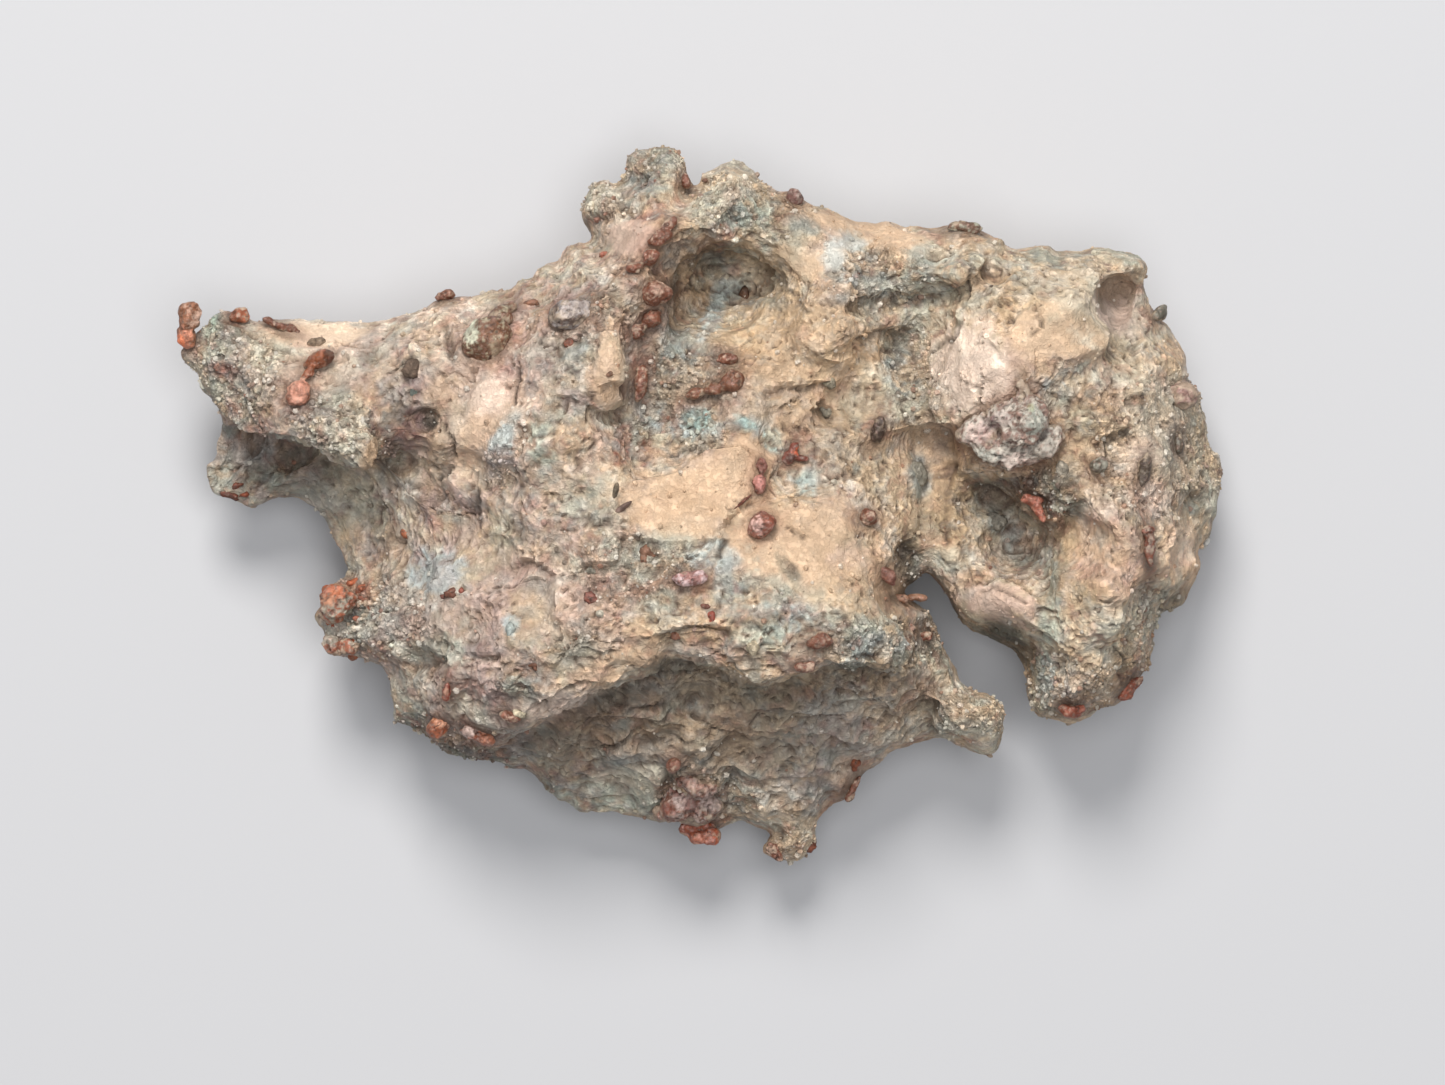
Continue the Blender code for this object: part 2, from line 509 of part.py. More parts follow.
def blob(values, seat, collection):
    """One ellipsoid, its middle above the seat height by its lift."""
    px, py, half_length, half_width, turn, lift = values
    bpy.ops.mesh.primitive_ico_sphere_add(subdivisions=3, radius=1)
    made = bpy.context.object
    place = Matrix.Translation((*at(px, py), seat + lift * MM))
    stretch = Matrix.Diagonal((half_length * MM, half_width * MM, half_width * MM, 1))
    made.data.transform(place @ Matrix.Rotation(math.radians(turn), 4, "Z") @ stretch)
    for old in list(made.users_collection):
        old.objects.unlink(made)
    collection.objects.link(made)
    return made


def nugget(name, blobs, relief, collection, cutters, finish):
    """Blobs grown together in one skin, and the cutter of its socket, a little larger all round."""
    places = np.array([at(values[0], values[1]) for values in blobs])
    heights = front_surface(places[:, 0], places[:, 1], relief)
    seats = heights.mean() + FOLLOWS_SURFACE * (heights - heights.mean())
    grown = [blob(values, float(seat), cutters) for values, seat in zip(blobs, seats)]
    joined = grown[0]
    if len(grown) > 1:
        with bpy.context.temp_override(active_object=joined, selected_editable_objects=grown):
            bpy.ops.object.join()
    remesh(joined, BLOB_SKIN_STEP)
    bpy.context.view_layer.update()
    skin = applied(joined, name, collection)
    widest = max(max(values[2], values[3]) for values in blobs) * MM
    kind = "large" if len(blobs) >= LARGE_NUGGET_BLOBS else "small" if widest < SMALL_NUGGET else "middle"
    thin_out(skin, NUGGET_TRIANGLES[kind])
    bpy.context.view_layer.update()
    made = applied(skin, name, collection)
    made.data.materials.append(finish)
    made.data.shade_smooth()
    cutter = bpy.data.objects.new("socket_of_" + name, made.data.copy())
    cutters.objects.link(cutter)
    normals = np.empty(len(cutter.data.vertices) * 3)
    cutter.data.vertices.foreach_get("normal", normals)
    set_vertices(cutter.data, vertex_array(cutter.data) + SOCKET_GAP * normals.reshape(-1, 3))
    cutter.hide_render = True
    cutter.display_type = "WIRE"
    return made


def cut_sockets(stone, collection, cutters):
    """Takes every socket out of the rock, then drops crumbs that a socket has cut free."""
    modifier = stone.modifiers.new("sockets", "BOOLEAN")
    modifier.operation = "DIFFERENCE"
    modifier.operand_type = "COLLECTION"
    modifier.collection = cutters
    bpy.context.view_layer.update()
    made = applied(stone, "rock_matrix", collection)
    shape = bmesh.new()
    shape.from_mesh(made.data)
    islands, seen = [], set()
    for start in shape.verts:
        if start in seen:
            continue
        island, front = {start}, [start]
        while front:
            for edge in front.pop().link_edges:
                for vertex in edge.verts:
                    if vertex not in island:
                        island.add(vertex)
                        front.append(vertex)
        seen |= island
        islands.append(island)
    islands.sort(key=len)
    for crumb in islands[:-1]:
        bmesh.ops.delete(shape, geom=list(crumb), context="VERTS")
    shape.to_mesh(made.data)
    shape.free()
    return made


def main():
    for obj in list(bpy.data.objects):
        bpy.data.objects.remove(obj)
    specimen = new_collection("native_copper")
    cutters = new_collection("cutters")
    relief = make_relief()
    stone = rock(specimen, relief)
    copper = material("copper", *COPPER_FINISH)
    coated = material("coated_copper", *COATED_COPPER_FINISH)
    for name, blobs in COPPER.items():
        nugget(name, blobs, relief, specimen, cutters, coated if name in COATED else copper)
    stone = cut_sockets(stone, specimen, cutters)
    stone.data.materials.append(material("rock", *ROCK_FINISH))


main()
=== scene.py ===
"""The looks of the native copper specimen: broken rock, crumbs on it, and the copper nuggets."""

import math

import bpy
import numpy as np
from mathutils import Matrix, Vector


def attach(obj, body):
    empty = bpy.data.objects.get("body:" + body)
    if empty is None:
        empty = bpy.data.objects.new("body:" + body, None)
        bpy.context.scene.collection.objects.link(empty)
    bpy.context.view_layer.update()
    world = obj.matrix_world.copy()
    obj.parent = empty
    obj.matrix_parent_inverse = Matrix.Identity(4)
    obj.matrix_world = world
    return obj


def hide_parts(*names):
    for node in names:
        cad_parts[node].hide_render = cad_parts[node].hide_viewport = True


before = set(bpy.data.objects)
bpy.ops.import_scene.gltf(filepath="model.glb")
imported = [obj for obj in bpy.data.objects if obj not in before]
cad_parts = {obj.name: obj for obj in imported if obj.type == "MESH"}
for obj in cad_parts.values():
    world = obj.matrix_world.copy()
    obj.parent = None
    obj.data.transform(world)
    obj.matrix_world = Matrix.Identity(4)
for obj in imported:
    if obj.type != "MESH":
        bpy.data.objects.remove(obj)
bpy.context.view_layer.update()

MM = 0.001

# The picture that the places below are read off, in its own pixels
PICTURE_SIZE = (1445, 1085)
PICTURE_CENTRE_PX = (722.5, 542.5)
SPECIMEN_WIDTH = 150 * MM
PICTURE_WIDTH_PX = 1046
PICTURE_MIDDLE_PX = (702.4, 505.3)
METRES_PER_PX = SPECIMEN_WIDTH / PICTURE_WIDTH_PX

# The rock's own driving dimensions, the same as its solid's
RIM_HALF_THICKNESS = 1.6 * MM
FRONT_SHOULDER = 8 * MM
BACK_SHOULDER = 11 * MM
LUMP_HEIGHT = 0.8 * MM
LUMP_WAVELENGTH = 8 * MM
BACK_LUMP_HEIGHT = 1.6 * MM
FOLLOWS_SURFACE = 0.7

# How finely the rock's surface is laid out
CELL = 0.54 * MM
ROCK_TRIANGLES = 198000
CRUMB_COUNT = 4800
WIDE_NUGGET = 3
WIDE_NUGGET_CELL = 0.22 * MM
NUGGET_CELL = 0.18 * MM

# The rock up close: how wide its chips, grain, folds, crevices and flakes are, and how deep
LARGE_CHIP = 5.2 * MM
LARGE_CHIP_DEPTH = 1.7 * MM
MIDDLE_CHIP = 2.3 * MM
MIDDLE_CHIP_DEPTH = 0.8 * MM
SMALL_CHIP = 1.15 * MM
SMALL_CHIP_DEPTH = 0.3 * MM
GRAIN = 1.3 * MM
GRAIN_DEPTH = 0.2 * MM
FOLD = 2.4 * MM
FOLD_DEPTH = 0.42 * MM
CREVICE = 4.6 * MM
CREVICE_DEPTH = 0.5 * MM
FLAKE = 2.7 * MM
FLAKE_DEPTH = 0.42 * MM
CALM_RIM = 4 * MM
CRACK_WANDER = 0.35 * MM
CRACK_EXTRA_HALF_WIDTH = 0.22
GROOVE_DEPTH = 0.32 * MM

# A nugget up close
LUMP_ON_NUGGET = 2.4 * MM
DENT_ON_NUGGET = 1.4 * MM
PIT_ON_NUGGET = 0.7 * MM

# Linear colours of the fine specks inside the materials
DARK_GRAIN = (0.11, 0.08, 0.06, 1)
BRIGHT_GRAIN = (0.82, 0.76, 0.66, 1)
CLINGING_MINERAL = (0.36, 0.27, 0.21, 1)
DARK_STAIN = (0.045, 0.028, 0.02, 1)

# The outline, clockwise from the arm's tip
ARM_TOP_PX = [
    (206, 326), (215, 318), (225, 312), (232, 312), (250, 318), (256, 323), (262, 321), (270, 319),
    (284, 320), (288, 318), (297, 316), (306, 316), (310, 319), (318, 316), (331, 318), (337, 320),
    (352, 320), (372, 320), (385, 320), (392, 317), (402, 313), (414, 310), (424, 307), (436, 300),
    (446, 297), (458, 296), (466, 293), (480, 292), (490, 290), (500, 291), (508, 289), (516, 284),
    (515, 279), (530, 278), (534, 277), (536, 272), (541, 268), (547, 263), (551, 262), (557, 265),
    (558, 260), (561, 252), (567, 245), (574, 242), (581, 240), (590, 243), (595, 244),
]
TOWERS_PX = [
    (593, 238), (588, 231), (585, 224), (583, 213), (585, 203), (586, 190), (590, 182), (596, 177),
    (604, 174), (609, 175), (612, 179), (622, 180), (622, 170), (623, 160), (628, 154), (636, 149),
    (645, 148), (660, 147), (671, 147), (677, 151), (679, 158), (683, 156), (687, 155), (687, 162),
    (684, 170), (690, 178), (692, 184), (688, 192), (686, 197), (690, 195), (697, 188), (703, 186),
    (706, 184), (702, 182), (700, 177), (706, 173), (716, 169), (722, 164), (730, 163), (737, 163),
    (743, 168), (751, 173), (757, 179), (760, 183), (768, 187), (773, 191), (780, 193),
]
RIGHT_TOP_PX = [
    (790, 191), (796, 194), (801, 199), (808, 203), (815, 208), (825, 211), (838, 215), (850, 219),
    (858, 222), (868, 221), (874, 224), (882, 221), (892, 222), (904, 227), (915, 226), (935, 228),
    (940, 227), (948, 225), (960, 224), (972, 226), (980, 230), (988, 234), (998, 236), (1003, 240),
    (1007, 246), (1022, 248), (1034, 246), (1049, 245), (1054, 251), (1075, 251), (1092, 249), (1108, 250),
    (1113, 253), (1118, 251), (1128, 252), (1138, 256), (1144, 263), (1147, 272), (1145, 280), (1146, 290),
    (1150, 302), (1154, 310), (1160, 318), (1168, 325), (1176, 335), (1184, 345), (1190, 352), (1192, 362),
    (1191, 380), (1198, 387), (1202, 395), (1203, 408), (1208, 422), (1209, 436), (1212, 446), (1218, 453),
    (1223, 460), (1225, 470), (1225, 490), (1222, 505), (1220, 516), (1212, 521), (1213, 530), (1214, 537),
    (1205, 546), (1200, 552),
]
RIGHT_LOBE_PX = [
    (1206, 562), (1204, 570), (1198, 578), (1192, 587), (1188, 597), (1183, 604), (1172, 607), (1161, 612),
    (1160, 622), (1156, 632), (1155, 645), (1152, 658), (1150, 667), (1143, 674), (1140, 680), (1136, 688),
    (1130, 696), (1122, 704), (1114, 709), (1106, 709), (1098, 712), (1094, 718), (1085, 721), (1075, 725),
    (1065, 726), (1058, 722), (1040, 719), (1034, 713), (1031, 705), (1029, 695), (1027, 683), (1028, 675),
    (1024, 667), (1020, 658), (1016, 652), (1008, 647), (1000, 645), (993, 639), (985, 634), (978, 630),
    (970, 629), (963, 624), (957, 617), (951, 608), (947, 602), (942, 594), (936, 585), (931, 577),
    (929, 570), (928, 568),
]
NOTCH_AND_KNOB_PX = [
    (924, 574), (918, 580), (910, 584), (906, 588), (903, 592), (912, 600), (920, 606), (928, 608),
    (932, 614), (935, 621), (939, 630), (944, 642), (950, 652), (955, 662), (959, 670), (963, 680),
    (970, 683), (980, 687), (990, 691), (999, 697), (1004, 705), (1007, 715), (1007, 728), (1005, 740),
    (1003, 748), (997, 754), (990, 757), (980, 756), (972, 752), (964, 746), (956, 744), (948, 740),
    (940, 739), (932, 741), (920, 744), (905, 748), (893, 751), (888, 755), (884, 762), (876, 767),
    (868, 771), (862, 777), (858, 786), (852, 795), (845, 802), (835, 806), (828, 814), (821, 821),
    (820, 828), (821, 838), (819, 846), (812, 849), (811, 856), (806, 861), (797, 864), (788, 864),
    (780, 861), (773, 860), (763, 858), (761, 850), (764, 842), (770, 839), (778, 839), (782, 838),
]
FOOT_EDGE_PX = [
    (776, 833), (765, 831), (755, 829), (748, 826), (741, 823), (735, 824), (728, 827), (722, 830),
    (716, 832), (690, 826), (682, 824), (672, 823), (660, 824), (645, 822), (634, 822), (622, 820),
    (612, 816), (600, 815), (590, 811), (578, 810), (573, 804), (575, 801), (563, 801), (556, 799),
    (548, 790), (543, 784), (535, 778), (527, 771), (518, 770), (510, 772), (503, 768), (492, 765),
    (478, 764), (470, 762), (460, 760), (450, 757), (440, 750), (432, 745), (425, 738), (420, 735),
    (413, 731), (406, 724), (395, 722), (393, 712), (391, 704), (386, 698), (384, 690), (385, 680),
    (379, 670), (370, 665), (361, 662), (352, 659), (342, 658), (331, 656), (325, 650), (321, 641),
    (319, 628), (315, 622), (313, 616), (319, 606), (326, 600), (330, 592), (336, 583), (337, 578),
    (343, 576),
]
LEFT_EDGE_PX = [
    (347, 571), (343, 565), (340, 560), (337, 550), (332, 545), (328, 536), (323, 524), (318, 517),
    (311, 509), (302, 503), (296, 499), (288, 498), (276, 499), (266, 501), (262, 505), (256, 509),
    (250, 511), (240, 508), (231, 500), (222, 499), (214, 494), (209, 488), (205, 478), (202, 466),
    (204, 462), (213, 459), (216, 455), (214, 447), (217, 437), (219, 425), (224, 418), (219, 411),
    (213, 404), (208, 397), (203, 391), (198, 385), (197, 378), (193, 370), (186, 365), (182, 360),
    (181, 352), (184, 348), (190, 340), (200, 330),
]
OUTLINE_PX = (ARM_TOP_PX + TOWERS_PX + RIGHT_TOP_PX + RIGHT_LOBE_PX
              + NOTCH_AND_KNOB_PX + FOOT_EDGE_PX + LEFT_EDGE_PX)

# Spot heights: place in pixels, height above the resting surface in millimetres
FRONT_SPOTS = [
    (200, 340, 24), (245, 352, 28), (290, 375, 31), (345, 345, 27), (345, 425, 34), (262, 420, 30),
    (400, 375, 34), (440, 330, 32), (480, 300, 28), (505, 400, 38), (420, 450, 34), (402, 490, 36),
    (345, 530, 26), (425, 565, 35), (465, 500, 37), (550, 350, 39), (560, 440, 41), (600, 290, 38),
    (612, 375, 42), (650, 290, 38), (605, 200, 25), (655, 180, 26), (735, 195, 33), (690, 222, 37),
    (705, 290, 26), (745, 285, 27), (765, 330, 31), (700, 350, 32), (660, 400, 35), (640, 450, 38),
    (740, 395, 35), (700, 440, 37), (745, 450, 39), (680, 505, 40), (760, 520, 41), (830, 530, 40),
    (640, 560, 42), (700, 575, 43), (800, 595, 43), (885, 560, 37), (700, 625, 45), (760, 645, 45),
    (615, 645, 44), (855, 625, 43), (900, 625, 40), (935, 650, 33), (800, 250, 31), (860, 262, 31),
    (800, 330, 34), (845, 335, 37), (800, 400, 34), (862, 385, 32), (835, 440, 34), (872, 485, 35),
    (785, 455, 35), (905, 430, 32), (915, 265, 33), (920, 345, 31), (1000, 300, 38), (965, 370, 39),
    (1040, 330, 41), (1070, 290, 38), (1052, 268, 33), (1118, 300, 30), (1130, 265, 29), (1125, 350, 34),
    (1165, 385, 31), (1195, 440, 25), (1150, 455, 34), (1100, 450, 37), (1200, 490, 24), (1005, 430, 37),
    (985, 505, 31), (1015, 545, 30), (940, 470, 32), (945, 545, 31), (1000, 600, 35), (960, 600, 31),
    (1062, 600, 38), (1100, 545, 41), (1120, 490, 39), (1155, 575, 34), (1190, 560, 26), (1100, 620, 38),
    (1135, 645, 32), (1058, 650, 35), (1080, 690, 32), (560, 745, 33), (640, 710, 37), (700, 700, 38),
    (780, 710, 39), (860, 700, 38), (630, 765, 29), (700, 760, 31), (790, 765, 29), (860, 740, 30),
    (930, 700, 30), (975, 720, 25), (600, 795, 21), (700, 800, 24), (790, 815, 21), (790, 848, 17),
    (345, 605, 26), (380, 620, 30), (440, 620, 36), (500, 610, 40), (560, 600, 42), (425, 680, 31),
    (485, 690, 37), (545, 685, 41), (440, 730, 26), (490, 745, 28), (250, 470, 27), (215, 475, 24),
    (320, 490, 29),
]
BACK_SPOTS = [
    (200, 345, 15), (245, 360, 13), (300, 370, 9), (340, 400, 7), (230, 470, 9), (290, 480, 7),
    (400, 360, 4), (400, 450, 1), (350, 600, 8), (420, 690, 6), (480, 560, -3), (500, 400, -3),
    (600, 300, 4), (610, 205, 13), (650, 180, 14), (735, 190, 13), (700, 260, 5), (640, 440, 1),
    (701, 506, 2), (760, 560, -3), (620, 640, -3), (760, 680, 1), (600, 770, 5), (700, 780, 6),
    (790, 830, 8), (860, 720, 4), (975, 720, 9), (930, 640, 6), (840, 420, 0), (860, 280, 3), (980, 300, 1),
    (980, 480, 4), (1080, 420, -3), (1120, 330, 3), (1190, 450, 3), (1100, 560, -3), (1080, 660, 3),
    (1080, 705, 7), (1000, 600, 7), (920, 540, 4),
]
RIM_SPOTS = [
    (190, 340, 20), (330, 318, 20), (215, 480, 15), (330, 540, 14), (318, 620, 16), (450, 760, 15),
    (600, 815, 12), (790, 862, 11), (880, 765, 14), (1007, 720, 16), (960, 660, 17), (928, 567, 20),
    (1030, 680, 16), (1075, 725, 15), (1150, 660, 14), (1200, 560, 14), (1225, 480, 15), (1190, 360, 16),
    (1145, 270, 18), (1000, 240, 20), (870, 222, 20), (735, 163, 21), (650, 148, 19), (585, 213, 19),
    (500, 290, 20),
]

# A ledge is a line of places with its low side on the left hand of its direction:
# drop, ramp and reach in millimetres, then the line
LEDGES = {
    "main_ledge": (6.5, 0.9, 13, [
        (930, 664), (900, 672), (862, 662), (826, 660), (800, 676), (764, 684), (720, 666),
        (690, 656), (668, 652), (640, 672), (600, 692), (575, 708), (540, 724), (510, 738),
        (480, 756)]),
    "arm_overhang": (9.5, 2.2, 15, [
        (392, 428), (384, 458), (366, 470), (334, 462), (316, 454), (300, 441), (262, 439),
        (240, 430), (220, 416), (200, 402)]),
    "hollow_brow": (10, 1.6, 12, [
        (792, 300), (780, 266), (758, 256), (730, 246), (706, 248), (684, 262), (668, 284),
        (664, 312), (672, 345)]),
    "plateau_fold": (4.5, 1.4, 7, [
        (992, 252), (968, 276), (940, 286), (905, 292), (862, 300), (838, 306)]),
    "plateau_left": (3.0, 1.2, 7, [
        (958, 430), (938, 432), (930, 392), (944, 352), (958, 320), (966, 280)]),
    "crown_shadow": (6.0, 1.0, 10, [
        (1072, 494), (1050, 520), (1034, 522), (1012, 492), (985, 478), (962, 470), (958, 424)]),
    "corner_recess": (5.5, 0.9, 6, [
        (1146, 290), (1136, 280), (1114, 276), (1092, 290), (1098, 316), (1110, 332)]),
    "plateau_right": (3.0, 1.4, 8, [
        (1104, 318), (1108, 336), (1096, 350), (1064, 366), (1042, 396), (1048, 430)]),
    "facet_underside": (9.0, 0.9, 9, [
        (1036, 668), (1032, 644), (1010, 629), (992, 619), (972, 622), (956, 612), (940, 590)]),
    "block_edge": (3.6, 0.8, 6, [
        (640, 300), (624, 330), (627, 360), (626, 404), (600, 414)]),
    "lower_fold": (2.6, 1.0, 6, [
        (936, 694), (916, 708), (896, 717), (876, 702), (852, 688), (820, 684)]),
    "lobe_corner": (5.0, 1.0, 8, [
        (1196, 520), (1194, 560), (1176, 590), (1156, 600), (1150, 640)]),
}

# Smaller ledges that only the visible surface has, given the same way
SMALL_LEDGES = {
    "arm_edge": (3.4, 0.6, 30, [
        (386, 446), (374, 470), (352, 470), (334, 464), (316, 454), (300, 442), (284, 436), (262, 440),
        (244, 432), (232, 420), (222, 410)]),
    "block_top": (1.4, 0.5, 3.0, [(598, 338), (612, 332), (626, 338)]),
    "block_steps": (1.0, 0.4, 2.0, [(628, 386), (612, 384), (600, 390)]),
    "block_foot": (1.8, 0.5, 3.0, [(628, 408), (606, 414), (590, 408)]),
    "slab_right": (1.6, 0.5, 4.0, [(446, 384), (458, 376), (474, 386)]),
    "tower_shelf": (2.4, 0.6, 4.0, [(716, 232), (690, 233), (662, 238), (640, 250)]),
    "tower_valley": (2.0, 0.8, 4.0, [(622, 218), (640, 200), (652, 178)]),
    "mauve_edge": (0.8, 0.5, 3.0, [(388, 424), (400, 418), (420, 420), (444, 424)]),
    "facet_top": (1.4, 0.4, 3.5, [(956, 578), (984, 574), (1010, 582), (1040, 596)]),
    "peach_top": (1.0, 0.6, 4.0, [(630, 482), (676, 476), (706, 452), (740, 446), (770, 470)]),
    "peach_fold": (1.2, 0.5, 4.0, [(784, 452), (760, 494), (738, 506), (716, 530)]),
    "peach_foot": (0.8, 0.6, 3.0, [(722, 536), (690, 540), (650, 538), (612, 530)]),
    "buff_scarp_a": (2.0, 0.6, 4.0, [(912, 330), (884, 328), (862, 340), (850, 366)]),
    "buff_scarp_b": (1.6, 0.6, 4.0, [(838, 380), (806, 388), (782, 382), (756, 392)]),
    "buff_scarp_c": (1.6, 0.5, 3.5, [(842, 408), (826, 402), (812, 412), (812, 430)]),
    "ochre_step": (1.4, 0.5, 3.5, [(958, 426), (940, 424), (916, 428), (902, 412)]),
    "lobe_scarp": (1.8, 0.5, 4.0, [(1130, 424), (1112, 432), (1100, 440), (1098, 462)]),
    "left_scarp_a": (1.4, 0.5, 3.0, [(640, 560), (606, 562), (580, 560), (560, 574)]),
    "left_scarp_b": (1.4, 0.5, 3.0, [(560, 572), (540, 560), (520, 556), (500, 562)]),
    "pink_slab": (1.6, 0.5, 4.0, [(400, 680), (420, 676), (446, 672)]),
    "lens_slab": (1.2, 0.4, 3.0, [(500, 652), (480, 656), (466, 650)]),
    "upper_tread": (2.2, 0.6, 4.0, [(734, 626), (704, 620), (680, 622), (650, 636)]),
    "ledge_lip": (1.4, 0.4, 3.0, [(620, 684), (588, 680), (560, 690), (536, 704), (522, 716)]),
    "low_step_a": (2.0, 0.5, 4.0, [(690, 724), (664, 722), (640, 714), (610, 716), (580, 724)]),
    "low_step_b": (1.8, 0.5, 4.0, [(664, 742), (640, 728), (620, 744), (590, 752), (560, 748)]),
    "low_step_c": (1.8, 0.5, 4.0, [(850, 716), (812, 716), (780, 706), (744, 712)]),
    "low_step_d": (1.8, 0.5, 4.0, [(862, 742), (826, 738), (790, 742), (756, 738), (720, 730)]),
    "low_step_e": (1.4, 0.5, 4.0, [(840, 776), (800, 778), (760, 782), (730, 768)]),
    "low_step_f": (1.6, 0.5, 3.5, [(640, 802), (610, 800), (580, 800), (560, 786)]),
    "low_crease": (1.4, 0.4, 3.0, [(760, 686), (736, 684), (700, 672), (676, 668)]),
    "knob_neck": (2.4, 0.7, 3.5, [(940, 744), (934, 724), (938, 700), (958, 690)]),
    "ridge_a": (1.4, 0.5, 3.0, [(950, 548), (948, 500), (958, 462)]),
    "ridge_b": (1.2, 0.5, 3.0, [(926, 548), (930, 505), (936, 462)]),
    "lobe_shelf": (2.0, 0.5, 3.5, [(1100, 712), (1080, 704), (1056, 708), (1040, 704)]),
}

# Bosses stand up and pits go down: place, half length and half width in millimetres,
# turn in degrees, height in millimetres
BOSSES = [
    (345, 432, 6.5, 3.8, -25, 2.5), (402, 488, 3.0, 3.0, 0, 1.6), (440, 575, 4.2, 4.0, 0, 1.4),
    (612, 372, 2.2, 4.5, 0, 1.2), (650, 165, 4.0, 2.6, 0, 1.5), (604, 195, 2.6, 3.4, 0, 1.5),
    (735, 188, 3.6, 3.2, 0, 1.6), (842, 335, 4.2, 3.0, 30, 1.8), (800, 395, 5.0, 2.6, 10, 1.4),
    (972, 718, 5.0, 3.6, 20, 3.0), (785, 845, 3.2, 2.0, 0, 1.6), (1102, 575, 4.2, 6.5, 10, 1.8),
    (1100, 622, 3.0, 3.6, 0, 1.2), (1060, 700, 4.0, 2.6, 0, 1.4), (560, 655, 4.0, 2.4, 15, 1.4),
    (620, 716, 5.0, 1.6, 15, 1.3), (620, 760, 4.6, 1.6, 5, 1.4), (640, 735, 3.6, 1.4, 20, 1.0),
    (745, 645, 4.2, 2.4, -8, 1.2), (680, 632, 5.0, 2.2, 8, 1.0), (1130, 268, 3.0, 2.0, 0, 1.6),
    (980, 600, 4.2, 3.2, -10, 1.4), (300, 372, 4.5, 3.0, 20, 1.0), (230, 350, 4.0, 3.0, 0, 1.2),
    (430, 423, 1.6, 1.2, 0, -1.6), (740, 300, 4.5, 5.0, 0, -2.5), (700, 270, 3.5, 3.0, 0, -2.5),
    (285, 465, 3.0, 1.6, 0, -1.6), (1118, 300, 3.2, 3.0, 0, -2.0), (985, 500, 4.0, 2.0, -15, -2.4),
    (1015, 545, 3.4, 3.6, 0, -1.6), (1042, 620, 1.2, 7.0, 4, -1.8), (905, 555, 2.4, 2.4, 0, -2.2),
    (855, 385, 3.5, 4.5, 20, -1.6), (905, 355, 2.6, 5.0, 20, -1.6), (1080, 400, 2.0, 4.0, 30, -1.2),
    (760, 760, 6.0, 4.0, -10, -1.6), (700, 705, 6.0, 1.6, -20, -1.4), (648, 340, 1.2, 6.0, -6, -1.6),
    (655, 430, 4.0, 4.0, 0, -1.2), (576, 355, 2.4, 1.6, 30, -1.2), (390, 400, 3.0, 5.0, -25, -1.3),
]

